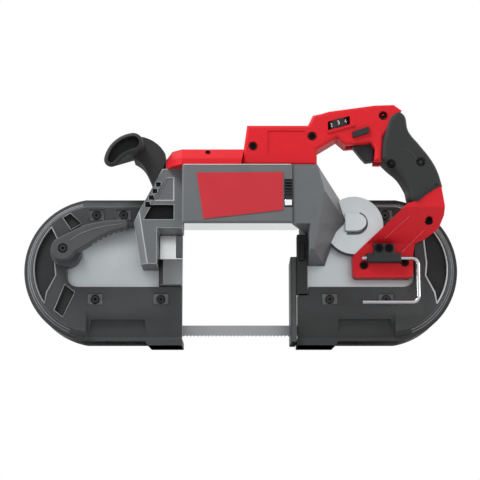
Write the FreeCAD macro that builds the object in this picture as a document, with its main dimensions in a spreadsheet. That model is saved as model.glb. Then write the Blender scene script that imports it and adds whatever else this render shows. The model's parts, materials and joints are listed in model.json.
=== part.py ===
"""Portable band saw: an assembly of separate pieces in one frame.

+X runs from the idler wheel to the drive wheel, +Y from the handle side to the wheel side, +Z up.
The origin is on the ground, under the middle of the saw, which stands on the feet of its guards.
"""
import FreeCAD, Part
import math
import os
import Sketcher
from FreeCAD import Vector

doc = FreeCAD.newDocument("portable_band_saw")
sheet = doc.addObject("Spreadsheet::Sheet", "Sizes")

# Driving dimensions in millimetres. A rise is measured from the deck's front face towards the user,
# a depth from the same face towards the wheels.
sizes = {
    # Blade and wheels
    "axle_span": 330, "band_radius": 75, "wheel_width": 18, "wheel_depth": 32, "tyre_thick": 3,
    "rim_thick": 4, "web_thick": 5, "hub_radius": 18, "wheel_hole_radius": 14, "blade_thick": 0.6,
    "blade_width": 12.7, "cut_height": 20, "wheel_gap": 0.3, "tooth_pitch": 4.2, "tooth_height": 1.2,
    # Deck
    "deck_front": 11.9, "deck_skin": 7, "throat_left": 66.5, "throat_right": 67, "throat_rise": 55,
    "crest_left": 92, "crest_right": 98, "crest_top": 190, "lip_thick": 4, "lip_depth": 44,
    "seat_gap": 0.4, "fit": 0.05, "overrun": 2,
    # Guards
    "guard_radius": 82.5, "guard_wall": 3, "guard_depth": 52, "guard_rise": 15, "guard_brow": 3,
    "ring_step": 3.5, "bevel_width": 10, "foot_height": 4.6, "foot_left": 104, "foot_right": 106,
    "guard_right_edge": 77, "guard_step": 55, "guard_top_left": 121, "guard_top_right": 122,
    "window_low": 65, "window_high": 135, "window_side": 198, "window_round": 14, "panel_depth": 4,
    "screw_sink": 6,
    "guard_screw_inset": 24, "guard_screw_low": 51, "guard_screw_high": 148, "guard_screw_spread": 31,
    # Motor and its housing
    "housing_rise": 75, "housing_left": 65, "housing_right": 58, "housing_low": 127, "housing_top": 194,
    "housing_wall": 3, "motor_rise": 38, "motor_height": 164, "stator_radius": 25, "stator_length": 38,
    "rotor_radius": 15, "air_gap": 0.5, "rotor_shaft_radius": 4, "fan_radius": 21, "fan_width": 9,
    "motor_bearing_radius": 8, "motor_bearing_width": 5, "label_thick": 0.8,
    # Left support and throat post
    "support_rise": 50, "support_left": 120, "support_top_left": 88, "support_low": 86, "support_bevel": 8,
    "vent_side": 5, "post_left": 93, "post_high": 126, "post_rise": 20,
    "notch_width": 7.5,
    # Gear train
    "spur_module": 1.5, "final_module": 2, "bevel_module": 1, "gear_width": 7, "tooth_play": 0.2,
    "gear_rise": 6, "chamber_wall": 3.5, "chamber_depth": 10, "cover_thick": 3, "drive_shaft_radius": 7,
    "drive_bearing_radius": 13, "lay_shaft_radius": 4, "lay_bearing_radius": 8, "bearing_width": 5,
    "gear_boss_rise": 17, "gear_boss_wall": 1.8, "gear_case_rise": 72, "gear_case_low": 91,
    "gear_case_reach": 130, "chamber_clear": 2, "first_clear": 1.2,
    # Blade tension
    "lever_drop_x": 34, "lever_lift": 18.5, "lever_rise": 45, "lever_length": 78, "lever_thick": 20,
    "lever_hub_radius": 13, "collar_radius": 17, "collar_rise": 22, "cam_shaft_radius": 5,
    "cam_radius": 8.5, "cam_throw": 4, "cam_pin_radius": 3, "cam_width": 4, "slide_width": 34,
    "slide_length": 76, "slide_thick": 8, "slide_play": 0.3, "rail_width": 6,
    "axle_radius": 6, "idler_bearing_radius": 13,
    "spring_radius": 6, "spring_length": 18, "rod_radius": 2.5,
    # Blade guides and shoe
    "guide_width": 14, "guide_gap": 3, "guide_high": 64, "roller_radius": 6, "roller_width": 8,
    "roller_play": 0.15, "pin_radius": 2, "thrust_radius": 6, "thrust_width": 5, "shoe_left": 56.5,
    "shoe_thick": 7, "shoe_high": 100, "shoe_low": 3, "shoe_rise": 12, "shoe_depth": 47, "shoe_slot": 5,
    "stem_width": 9, "holder_high": 125, "holder_low": 57, "holder_rise": 16,
    "latch_width": 6, "latch_length": 20, "latch_travel": 2.5,
    # Rear handle
    "handle_left": 5, "handle_low": 196, "handle_length": 220, "handle_height": 72, "handle_rise": 66,
    "handle_split": 48, "handle_back": 30, "handle_wall": 3, "handle_round": 4, "block_back": 4,
    "grip_bulge": 1.5, "tongue_thick": 8, "arm_left": 127, "arm_low": 75, "arm_length": 100,
    "arm_height": 97, "foot_rise": 22, "arm_screw_rise": 43, "trigger_thick": 15, "trigger_play": 0.5,
    "lock_length": 42, "lock_play": 0.3, "dial_x": 110, "dial_height": 243,
    "dial_radius": 12, "dial_width": 9, "dial_proud": 1.5, "dial_play": 0.4,
    "switch_thick": 14,
    # Front handle and top cover
    "bar_left": 152, "bar_low": 193, "bar_width": 42, "bar_height": 42, "bar_rise": 70, "bar_depth": 24,
    "neck_rise": 46, "neck_back": 8, "bar_round": 4, "bar_hollow": 14, "cover_left": 84,
    "cover_height": 20, "cover_shoulder": 7, "cover_round": 3,
    # Hanger hook
    "wire_radius": 2.25, "hook_left": 137, "hook_right": 200, "hook_height": 96, "hook_drop": 50,
    "hook_bend": 7, "bracket_left": 142, "bracket_right": 181, "bracket_high": 112, "bracket_wall": 3,
    "bracket_rise": 32,
    # Screws
    "screw_radius": 2.2, "screw_head_radius": 4, "screw_head": 4, "socket_radius": 1.8, "screw_grip": 5,
}
for row, (name, value) in enumerate(sizes.items(), 1):
    sheet.set("A%d" % row, name)
    sheet.set("B%d" % row, str(value))
    sheet.setAlias("B%d" % row, name)
doc.recompute()


class Size:
    """A length: its value now, and the expression over the sheet's cells that gives it."""

    def __init__(self, value, text):
        self.value = float(value)
        self.text = text

    def joined(self, sign, other, value):
        return Size(value, "(%s %s %s)" % (self.text, sign, text_of(other)))

    def __add__(self, other):
        return self.joined("+", other, self.value + float(other))

    def __sub__(self, other):
        return self.joined("-", other, self.value - float(other))

    def __mul__(self, other):
        return self.joined("*", other, self.value * float(other))

    def __truediv__(self, other):
        return self.joined("/", other, self.value / float(other))

    def __radd__(self, other):
        return Size(float(other) + self.value, "(%s + %s)" % (text_of(other), self.text))

    def __rsub__(self, other):
        return Size(float(other) - self.value, "(%s - %s)" % (text_of(other), self.text))

    def __rmul__(self, other):
        return self * other

    def __neg__(self):
        return Size(-self.value, "(0 - %s)" % self.text)

    def __float__(self):
        return self.value

    def __lt__(self, other):
        return self.value < float(other)


def text_of(number):
    return number.text if isinstance(number, Size) else repr(float(number))


class Named:
    """Every named size of the sheet as an attribute."""


size = Named()
for name in sizes:
    setattr(size, name, Size(sheet.get(name), "Sizes." + name))

NONE = Size(0, "0")
NORMAL_SIGN = {"XZ_Plane": -1, "XY_Plane": 1, "YZ_Plane": 1}
nodes = []


def front(rise):
    """The Y of a place that stands out from the deck's front face by this rise."""
    return size.deck_front - rise


def behind(depth):
    """The Y of a place that lies this far behind the deck's front face."""
    return size.deck_front + depth


def bind(item, prop, amount):
    item.setExpression(prop, text_of(amount))


def new_body(label, alone=True):
    """A body that is a node of its own, or one piece of a grouped node."""
    body = doc.addObject("PartDesign::Body", label)
    body.Label = label
    if alone:
        nodes.append(body)
    return body


def group_node(label, pieces):
    """One node of several separate solids of the same kind."""
    group = doc.addObject("Part::Compound", label)
    group.Label = label
    group.Links = pieces
    nodes.append(group)


def origin_feature(body, role):
    return [item for item in body.Origin.OriginFeatures if item.Role == role][0]


def arc_between(start, end, bend):
    """The arc from start to end of radius bend, turning left when bend is positive."""
    middle = (start + end) * 0.5
    chord = end - start
    lift = math.sqrt(max(bend * bend - chord.Length * chord.Length * 0.25, 0))
    side = Vector(-chord.y, chord.x, 0).normalize() * math.copysign(lift, bend)
    centre = middle + side
    first, last = (start, end) if bend > 0 else (end, start)
    start_angle = math.atan2(first.y - centre.y, first.x - centre.x)
    end_angle = math.atan2(last.y - centre.y, last.x - centre.x)
    circle = Part.Circle(centre, Vector(0, 0, 1), abs(bend))
    return Part.ArcOfCircle(circle, start_angle, end_angle)


def add_sketch(body, role, at, loops):
    """A sketch on an origin plane moved to `at`, whose corners and radii are bound to the sheet.

    A loop is a list of corners (u, v) or (u, v, bend), where bend is the radius of the arc to the
    next corner, or a circle given as one (u, v, radius) tuple.
    """
    sketch = body.newObject("Sketcher::SketchObject", body.Label + "_sketch")
    sketch.AttachmentSupport = [(origin_feature(body, role), "")]
    sketch.MapMode = "FlatFace"
    bind(sketch, "AttachmentOffset.Base.z", at * NORMAL_SIGN[role])
    rules = []
    bounds = []
    for loop in loops:
        if isinstance(loop, tuple):
            u, v, radius = loop
            centre = Vector(float(u), float(v), 0)
            edge = sketch.addGeometry(Part.Circle(centre, Vector(0, 0, 1), float(radius)), False)
            bounds += [("DistanceX", edge, 3, u), ("DistanceY", edge, 3, v), ("Radius", edge, 0, radius)]
            continue
        places = [Vector(float(corner[0]), float(corner[1]), 0) for corner in loop]
        ends = []
        for index, corner in enumerate(loop):
            start, end = places[index], places[(index + 1) % len(loop)]
            if len(corner) == 3:
                bend = float(corner[2])
                edge = sketch.addGeometry(arc_between(start, end, bend), False)
                ends.append((edge, 1, 2) if bend > 0 else (edge, 2, 1))
                bounds.append(("Radius", edge, 0, corner[2] if bend > 0 else -corner[2]))
            else:
                edge = sketch.addGeometry(Part.LineSegment(start, end), False)
                ends.append((edge, 1, 2))
            bounds.append(("DistanceX", edge, ends[-1][1], corner[0]))
            bounds.append(("DistanceY", edge, ends[-1][1], corner[1]))
        for index, (edge, first, last) in enumerate(ends):
            following = ends[(index + 1) % len(ends)]
            rules.append(Sketcher.Constraint("Coincident", edge, last, following[0], following[1]))
    sketch.addConstraint(rules)
    for kind, edge, point, amount in bounds:
        if kind == "Radius":
            rule = sketch.addConstraint(Sketcher.Constraint(kind, edge, float(amount)))
        else:
            rule = sketch.addConstraint(Sketcher.Constraint(kind, -1, 1, edge, point, float(amount)))
        bind(sketch, "Constraints[%d]" % rule, amount)
    return sketch


def add_feature(body, kind, sketch):
    feature = body.newObject("PartDesign::" + kind, body.Label + "_" + kind.lower())
    feature.Profile = sketch
    sketch.Visibility = False
    return feature


def refresh(body):
    """Brings one body up to date."""
    doc.recompute(body.Group + [body])


def pad(body, role, near, far, loops):
    """Solid between two places along the plane's axis."""
    feature = add_feature(body, "Pad", add_sketch(body, role, near, loops))
    ahead = (far - near) * NORMAL_SIGN[role]
    feature.Reversed = float(ahead) < 0
    bind(feature, "Length", -ahead if float(ahead) < 0 else ahead)
    refresh(body)
    return feature


def cut(body, role, near, far, loops):
    """Hollow between two places along the plane's axis."""
    feature = add_feature(body, "Pocket", add_sketch(body, role, near, loops))
    ahead = (far - near) * NORMAL_SIGN[role]
    feature.Reversed = float(ahead) > 0
    bind(feature, "Length", -ahead if float(ahead) < 0 else ahead)
    refresh(body)
    return feature


def loft(body, role, sections):
    """Straight-sided solid through outlines that have the same number of corners."""
    sketches = [add_sketch(body, role, at, [loop]) for at, loop in sections]
    feature = add_feature(body, "AdditiveLoft", sketches[0])
    feature.Sections = sketches[1:]
    feature.Ruled = True
    refresh(body)
    return feature


def turn(body, axis, loop, kind="Revolution"):
    """Turned solid or groove about one of the body's own axes."""
    role = {"X_Axis": "XY_Plane", "Y_Axis": "XY_Plane", "Z_Axis": "XZ_Plane"}[axis]
    feature = add_feature(body, kind, add_sketch(body, role, NONE, [loop]))
    feature.ReferenceAxis = (origin_feature(body, axis), [""])
    feature.Angle = 360
    refresh(body)
    return feature


def around(body, feature, axis, count):
    """Copies of a feature spread evenly round one of the body's own axes."""
    pattern = body.newObject("PartDesign::PolarPattern", body.Label + "_pattern")
    pattern.Originals = [feature]
    pattern.Axis = (origin_feature(body, axis), [""])
    pattern.Angle = 360
    pattern.Occurrences = count
    body.Tip = pattern
    refresh(body)
    return pattern


def soften(body, kind, amount, test):
    """Fillet or chamfer on the edges that pass the test."""
    base = body.Tip
    picked = [i for i, edge in enumerate(base.Shape.Edges, 1) if test(edge)]
    if not picked:
        return
    feature = body.newObject("PartDesign::" + kind, body.Label + "_" + kind.lower())
    feature.Base = (base, ["Edge%d" % i for i in picked])
    bind(feature, "Radius" if kind == "Fillet" else "Size", amount)
    refresh(body)


def place(body, x, y, z):
    bind(body, "Placement.Base.x", x)
    bind(body, "Placement.Base.y", y)
    bind(body, "Placement.Base.z", z)


def box(left, right, low, high):
    return [(left, low), (right, low), (right, high), (left, high)]


def spread(shares, left, low, width, height):
    """Corners given as shares of a width and a height, with any bend as a share of the width."""
    corners = []
    for entry in shares:
        corner = (left + width * entry[0], low + height * entry[1])
        corners.append(corner + (width * entry[2],) if len(entry) == 3 else corner)
    return corners


def mirrored(loop):
    """The outline on the other side of the saw's middle plane."""
    return [(-corner[0], corner[1]) + tuple(-bend for bend in corner[2:]) for corner in loop]


def edge_at(level, axis, reach=0.01):
    """Test for edges that lie wholly at one level of an axis."""
    def test(edge):
        spots = edge.discretize(3)
        return all(abs(getattr(spot, axis) - float(level)) < reach for spot in spots)
    return test


def solid_node(label, shape):
    item = doc.addObject("Part::Feature", label)
    item.Label = label
    item.Shape = shape
    item.Placement = FreeCAD.Placement()
    nodes.append(item)
    return item


def rod(start, end, radius):
    """A round bar between two points, as a plain shape."""
    along = end - start
    return Part.makeCylinder(float(radius), along.Length, start, along)


def point(x, y, z):
    return Vector(float(x), float(y), float(z))


# Places that several pieces share
low_share = 0.987
low_chord_share = math.sqrt(1 - low_share ** 2)
axle_x = size.axle_span / 2
axle_height = size.foot_height + size.guard_radius * low_share
throat_top = axle_height + size.throat_rise
inner_radius = size.guard_radius - size.guard_wall
deck_radius = inner_radius - size.seat_gap
deck_flat_share = 0.97
deck_chord_share = math.sqrt(1 - deck_flat_share ** 2)
deck_low = axle_height - deck_radius * deck_flat_share
deck_high = axle_height + deck_radius * deck_flat_share
deck_chord = deck_radius * deck_chord_share
wheel_mid = behind(size.wheel_depth)
wheel_front = behind(size.wheel_depth - size.wheel_width / 2)
wheel_back = behind(size.wheel_depth + size.wheel_width / 2)
deck_back = behind(size.deck_skin)
blade_top = size.cut_height + size.blade_width / 2
blade_low = size.cut_height - size.blade_width / 2

# Gear centres: the train steps up from the drive shaft to the motor's axis
final_teeth, second_pinion_teeth = 48, 13
second_teeth, first_pinion_teeth = 40, 24
bevel_teeth, bevel_pinion_teeth = 24, 10
final_distance = size.final_module * (final_teeth + second_pinion_teeth) / 2
final_lean_share, final_climb_share = 0.584, 0.8118
second_x = axle_x - final_distance * final_lean_share
second_z = axle_height + final_distance * final_climb_share
first_distance = size.spur_module * (second_teeth + first_pinion_teeth) / 2
first_climb = size.motor_height - second_z
first_x = Size(second_x.value - math.sqrt(first_distance.value ** 2 - first_climb.value ** 2),
               "(%s - sqrt(%s * %s - %s * %s))" % (second_x.text, first_distance.text, first_distance.text,
                                                   first_climb.text, first_climb.text))
final_tip = size.final_module * (final_teeth / 2 + 1)
second_tip = size.spur_module * (second_teeth / 2 + 1)
boss_radius = second_tip + size.gear_boss_wall
second_pinion_tip = size.final_module * (second_pinion_teeth / 2 + 1)
chamber_lobes = ((axle_x, axle_height, final_tip + size.chamber_clear),
                 (second_x, second_z, second_pinion_tip + size.chamber_clear))
first_bore = size.spur_module * (first_pinion_teeth / 2 + 1) + size.first_clear
cover_back = behind(size.deck_skin + size.chamber_depth + size.cover_thick)

# Tension lever and slide
lever_x = -axle_x - size.lever_drop_x
lever_z = axle_height + size.lever_lift

slide_back = deck_back + size.cam_width + size.slide_play * 3 + size.slide_thick

# Left support, blade guides
support_top = -size.support_top_left
support_shoulder = axle_height + size.support_bevel * 6
thrust_z = blade_top + size.roller_play + size.thrust_radius
roller_offset = size.blade_thick / 2 + size.roller_play + size.roller_radius

# Outlines as shares of a width and a height
gear_foot_shares = ((0, 1), (0.47, 1), (0.83, 0.71), (1, 0.476), (0.62, 0.26), (0.53, 0), (0.25, 0),
                    (0.25, 0.35), (0, 0.485))
gear_crown_shares = ((0, 1), (0.375, 1), (0.486, 0.718), (0.403, 0.427), (0.375, 0.233), (0.306, 0.078),
                     (0.25, 0.078), (0.25, 0.35), (0, 0.35))
guard_panel_shares = (
    ((0.53, 0.82), (0.41, 0.89), (0.226, 0.72), (0.40, 0.62)),
    ((0.64, -0.66), (0.50, -0.77), (0.315, -0.375), (0.48, -0.25)),
    ((0.79, -0.55, 0.965), (0.70, 0.66), (0.60, 0.47), (0.64, 0.08), (0.62, -0.11), (0.76, -0.38)))
lever_arm_shares = ((-0.10, 0.13), (0, 0), (0.16, -0.06), (0.33, 0.04), (0.53, 0.17), (0.70, 0.25),
                    (0.92, 0.31), (0.93, 0.37), (0.90, 0.42), (0.585, 0.40), (0.31, 0.34), (0.10, 0.24))
lever_rib_shares = ((0.42, 0.10), (0.49, 0.145), (0.56, 0.185), (0.635, 0.22), (0.71, 0.253),
                    (0.785, 0.273), (0.86, 0.292))
handle_shares = ((-0.0205, -0.025), (0.01, 0.62), (0.32, 0.62), (0.345, 0.78), (0.386, 0.896), (0.427, 0.93),
                 (0.66, 1), (0.76, 1), (0.80, 0.911), (0.782, 0.806), (0.703, 0.444), (0.693, 0.056),
                 (0.655, 0.06), (0.66, 0.25), (0.641, 0.347), (0.509, 0.3125), (0.467, 0.426),
                 (0.364, 0.233), (0.364, -0.025))
handle_room_shares = ((0.032, 0.06), (0.036, 0.556), (0.332, 0.556), (0.368, 0.736), (0.432, 0.861),
                      (0.727, 0.93), (0.759, 0.82), (0.695, 0.556), (0.66, 0.417), (0.514, 0.417),
                      (0.468, 0.486), (0.345, 0.28), (0.345, 0.06))
block_shares = ((-0.0205, -0.025), (0.01, 0.62), (0.32, 0.62), (0.345, 0.55), (0.364, 0.233),
                (0.364, -0.025))
block_room_shares = ((0.032, 0.06), (0.036, 0.556), (0.305, 0.556), (0.33, 0.5), (0.345, 0.25),
                     (0.345, 0.06))
tongue_shares = ((0.70, 0.46), (0.757, 0.74), (0.918, -0.153), (0.85, -0.29))
grip_shares = ((0.782, 0.806), (0.809, 0.833), (0.818, 0.639), (0.859, 0.472), (0.918, 0.236),
               (0.959, 0.021), (0.977, -0.104), (0.991, -0.319), (0.843, -0.583), (0.811, -0.389),
               (0.75, -0.18), (0.693, 0.056), (0.703, 0.444))
arm_shares = ((0, 0.247), (0, 0.0515, 0.05), (0.05, 0), (0.63, 0, 0.05), (0.68, 0.0515), (0.68, 0.258),
              (0.707, 0.402), (0.82, 0.45), (0.96, 0.557), (1.0, 0.673), (0.998, 0.768), (0.96, 0.995),
              (0.635, 0.804), (0.587, 0.794), (0.357, 0.581), (0.14, 0.392), (0.015, 0.263))
trigger_shares = ((0.5486, 0.3125), (0.589, 0.153), (0.6136, 0.072), (0.6545, 0.0875), (0.661, 0.278),
                  (0.661, 0.389), (0.5486, 0.389))
trigger_slot_shares = ((0.514, 0.03), (0.691, 0.03), (0.691, 0.44), (0.514, 0.44))
switch_shares = ((0.641, 0.475), (0.673, 0.475), (0.695, 0.583), (0.709, 0.665), (0.641, 0.665))
board_shares = ((0.06, 0.1), (0.06, 0.5), (0.29, 0.5), (0.29, 0.1))
panel_shares = ((0.115, 0.16), (0.115, 0.53), (0.3, 0.53), (0.32, 0.44), (0.32, 0.16))
ledge_shares = ((0.4136, 0.52), (0.557, 0.64), (0.555, 0.607), (0.418, 0.487))
rail_shares = ((0.068, 0.125), (0.068, 0.5), (0.295, 0.5), (0.295, 0.125))
bean_ends_share = (Vector(0.19, 0.19, 0), 0.2), (Vector(0.755, 0.645, 0), 0.27)
bean_outer_share, bean_inner_share, bean_wall_share = 0.857, 0.81, 0.1
neck_shares = ((0.714, 0.94, -0.9), (1.595, 0.45), (1.571, 0.167), (1.095, -0.024, 0.7), (0.714, 0.36))
label_shares = ((0.131, 0.854), (0.909, 0.861), (0.907, 0.222), (0.195, 0.072))
dial_slope_share = 0.27


def handle_outline(shares):
    return spread(shares, size.handle_left, size.handle_low, size.handle_length, size.handle_height)


# Screw places as (x, z)
handle_screw_places = handle_outline(((0.0395, 0.285), (0.34, 0.444), (0.703, 0.772), (0.7386, 0),
                                      (0.8886, 0.028), (0.9355, -0.8375)))
foot_screw_places = spread(((0.123, 0.14), (0.587, 0.175)), size.arm_left, size.arm_low, size.arm_length,
                           size.arm_height)
bracket_screw_places = spread(((0.289, 0.327), (0.401, 0.327)), size.arm_left, size.arm_low,
                              size.arm_length, size.arm_height)


def guard_screw_places(side):
    """Screws through a guard: two in its lower band and one or two in its upper band."""
    inner = size.throat_left if side < 0 else size.guard_right_edge
    places = [(axle_x, size.guard_screw_low), (inner + size.guard_screw_inset, size.guard_screw_low),
              (axle_x, size.guard_screw_high)]
    if side < 0:
        places.append((axle_x - size.guard_screw_spread, size.guard_screw_high))
    return [(x * side, z) for x, z in places]


def export():
    os.makedirs("parts", exist_ok=True)
    doc.recompute()
    faults = [item.Label for item in doc.Objects if "Invalid" in item.State or "Error" in item.State]
    faults += [item.Label for item in nodes if item.Shape.isNull() or not item.Shape.isValid()]
    if faults:
        raise ValueError("faults in " + ", ".join(faults))
    for item in nodes:
        item.Shape.exportStep("parts/%s.step" % item.Label)


def deck_frame():
    """Cast deck: throat, motor crest, gear chamber, gear boss, slide rails and the upper blade channel."""
    body = new_body("deck_frame")
    crest_foot = size.lip_thick * 4
    right_side = [
        (size.throat_right, throat_top), (size.throat_right, deck_low),
        (axle_x + deck_chord, deck_low, deck_radius), (axle_x + deck_chord, deck_high),
        (size.crest_right + crest_foot, deck_high), (size.crest_right, size.crest_top)]
    left_side = [
        (-size.crest_left, size.crest_top), (-size.crest_left - crest_foot, deck_high),
        (-axle_x - deck_chord, deck_high, deck_radius), (-axle_x - deck_chord, deck_low),
        (-size.throat_left, deck_low), (-size.throat_left, throat_top)]
    pad(body, "XZ_Plane", deck_back, front(NONE), [right_side + left_side])
    run_top = axle_height + size.band_radius + size.lip_thick
    lip_back = behind(size.lip_depth)
    pad(body, "XZ_Plane", lip_back, deck_back,
        [box(-size.crest_left, size.crest_right, run_top, run_top + size.lip_thick)])
    pad(body, "XZ_Plane", lip_back, deck_back,
        [box(-size.throat_left, size.throat_right, throat_top, throat_top + size.lip_thick)])
    chamber_back = behind(size.deck_skin + size.chamber_depth)
    for x, z, reach in chamber_lobes:
        pad(body, "XZ_Plane", chamber_back, deck_back, [(x, z, reach + size.chamber_wall)])
    for x, z, reach in chamber_lobes:
        cut(body, "XZ_Plane", chamber_back, deck_back, [(x, z, reach)])
    pad(body, "XZ_Plane", front(NONE), front(size.gear_boss_rise), [(second_x, second_z, boss_radius)])
    cut(body, "XZ_Plane", front(NONE), front(size.gear_boss_rise - size.gear_boss_wall),
        [(second_x, second_z, second_tip + size.tooth_play)])
    cut(body, "XZ_Plane", front(NONE), front(size.gear_boss_rise + size.overrun),
        [(first_x, size.motor_height, first_bore)])
    ridge = size.lay_bearing_radius
    nose = [(second_x - ridge, second_z - ridge), (second_x, second_z - ridge, ridge),
            (second_x + ridge, second_z, ridge), (second_x, second_z + ridge),
            (second_x - ridge, second_z + ridge)]
    pad(body, "XZ_Plane", front(size.gear_boss_rise), front(size.gear_boss_rise + size.bearing_width),
        [nose])
    seat = size.bearing_width
    cut(body, "XZ_Plane", deck_back, deck_back - seat,
        [(axle_x, axle_height, size.drive_bearing_radius + size.fit)])
    cut(body, "XZ_Plane", deck_back, front(NONE),
        [(second_x, second_z, size.lay_bearing_radius + size.fit)])
    cut(body, "XZ_Plane", front(NONE), behind(seat),
        [(first_x, size.motor_height, size.lay_bearing_radius + size.fit)])
    cut(body, "XZ_Plane", front(NONE), deck_back, [(lever_x, lever_z, size.cam_shaft_radius + size.fit)])
    rail_left = lever_x + size.collar_radius
    rail_right = -axle_x + size.slide_length / 2
    for low in (axle_height + size.slide_width / 2 + size.slide_play,
                axle_height - size.slide_width / 2 - size.slide_play - size.rail_width):
        pad(body, "XZ_Plane", slide_back, deck_back,
            [box(rail_left, rail_right, low, low + size.rail_width)])
    for side in (-1, 1):
        for x, z in guard_screw_places(side):
            cut(body, "XZ_Plane", front(NONE), behind(size.screw_grip),
                [(x, z, size.screw_radius + size.fit)])
    return body


def guard_outline(radius, foot_inner, inner, top_inner, low):
    """Outer edge of a guard: straight foot, round end and flat top, closed through its middle."""
    chord = radius * low_chord_share
    middle = (size.window_low + size.window_high) / 2
    edge = [(foot_inner, low), (axle_x + chord, low, radius), (axle_x + chord, axle_height * 2 - low),
            (top_inner, axle_height * 2 - low), (top_inner, middle), (inner, middle)]
    if foot_inner < inner:
        edge += [(inner, size.guard_step), (foot_inner, size.guard_step)]
    return edge


def guard(label, side, foot_inner, inner, top_inner, foot_out):
    """Moulded wheel guard: a wall round the wheel and a thick front band with its window."""
    body = new_body(label)
    turn_side = (lambda loop: loop) if side > 0 else mirrored
    low = axle_height - size.guard_radius * low_share
    back = behind(size.guard_depth)
    outer = guard_outline(size.guard_radius, foot_inner, inner, top_inner, low)
    foot = [(foot_inner, NONE), (foot_out, NONE), (foot_out + size.foot_height, low)]
    pad(body, "XZ_Plane", back, front(size.guard_brow), [turn_side(foot + outer[1:])])
    brow_radius = size.guard_radius - size.ring_step
    face_radius = brow_radius - size.bevel_width * 0.7
    sections = []
    for radius, rise in ((brow_radius, size.guard_brow), (face_radius, size.guard_rise)):
        edge = guard_outline(radius, foot_inner, inner, top_inner, axle_height - radius * low_share)
        sections.append((front(rise), turn_side(edge)))
    loft(body, "XZ_Plane", sections)
    cavity = guard_outline(inner_radius, foot_inner - size.overrun, foot_inner - size.overrun,
                           top_inner - size.overrun, axle_height - inner_radius * low_share)
    cut(body, "XZ_Plane", back, front(NONE), [turn_side(cavity)])
    bend = size.window_round
    window = [(inner - size.overrun, size.window_low), (size.window_side - bend, size.window_low, bend),
              (size.window_side, size.window_low + bend), (size.window_side, size.window_high - bend, bend),
              (size.window_side - bend, size.window_high), (inner - size.overrun, size.window_high)]
    cut(body, "XZ_Plane", front(NONE), front(size.guard_rise), [turn_side(window)])
    crease = size.window_low * 0.57
    slope = [(front(size.guard_rise + size.overrun), crease), (front(size.guard_rise), crease),
             (front(size.guard_brow), low + size.guard_brow), (front(size.guard_brow), -size.overrun),
             (front(size.guard_rise + size.overrun), -size.overrun)]
    cut(body, "YZ_Plane", foot_inner * side, (axle_x + size.bevel_width) * side, [slope])
    panel = [(foot_out + size.foot_height, crease * 0.78), (axle_x + size.foot_height, crease * 0.78),
             (axle_x + size.bevel_width, low + size.overrun),
             (foot_out + size.foot_height / 2, low + size.overrun)]
    cut(body, "XZ_Plane", front(size.guard_rise), front(size.guard_brow + size.overrun), [turn_side(panel)])
    for x, z in guard_screw_places(side):
        pocket = box(x - size.screw_head_radius * 2.2, x + size.screw_head_radius * 2.2,
                     z - size.screw_head_radius * 1.6, z + size.screw_head_radius * 1.6)
        cut(body, "XZ_Plane", front(size.guard_rise), front(size.guard_rise - size.screw_sink), [pocket])
        cut(body, "XZ_Plane", front(NONE), front(size.guard_rise),
            [(x, z, size.screw_radius + size.seat_gap)])
    for shares in guard_panel_shares:
        recess = spread(shares, axle_x, axle_height, face_radius, face_radius)
        cut(body, "XZ_Plane", front(size.guard_rise), front(size.guard_rise - size.panel_depth),
            [turn_side(recess)])
    opening = (lever_x, lever_z, size.collar_radius) if side < 0 else (second_x, second_z, boss_radius)
    cut(body, "XZ_Plane", front(NONE), front(size.guard_rise),
        [opening[:2] + (opening[2] + size.seat_gap,)])
    return body


def wheel(label, x, bore):
    """Band wheel: rim, thin web with round holes and a hub."""
    body = new_body(label)
    rim = size.band_radius - size.tyre_thick
    bed = rim - size.rim_thick
    half = size.wheel_width / 2
    web = size.web_thick / 2
    turn(body, "Y_Axis", [
        (bore, -half), (size.hub_radius, -half), (size.hub_radius, -web), (bed, -web), (bed, -half),
        (rim, -half), (rim, half), (bed, half), (bed, web), (size.hub_radius, web), (size.hub_radius, half),
        (bore, half)])
    ring = (bed + size.hub_radius) / 2
    hole = cut(body, "XZ_Plane", -half, half, [(NONE, ring, size.wheel_hole_radius)])
    around(body, hole, "Y_Axis", 6)
    place(body, x, wheel_mid, axle_height)
    return body


def tyre(label, x):
    """Rubber tyre with bevelled edges that carries the blade."""
    body = new_body(label)
    rim = size.band_radius - size.tyre_thick
    half = size.wheel_width / 2
    slope = size.tyre_thick / 2
    turn(body, "Y_Axis", [(rim, -half), (size.band_radius - slope, -half), (size.band_radius, slope - half),
                          (size.band_radius, half - slope), (size.band_radius - slope, half), (rim, half)])
    place(body, x, wheel_mid, axle_height)
    return body


def ring(label, x, y_near, z, inner, outer, width):
    """Ball bearing as a ring on a shaft along Y, with shallow shield grooves."""
    body = new_body(label, False)
    groove = width / 10
    step = (outer - inner) / 4
    turn(body, "Y_Axis", [
        (inner, NONE), (inner + step, NONE), (inner + step, groove), (outer - step, groove),
        (outer - step, NONE), (outer, NONE), (outer, width), (outer - step, width),
        (outer - step, width - groove),
        (inner + step, width - groove), (inner + step, width), (inner, width)])
    place(body, x, y_near, z)
    return body


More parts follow.
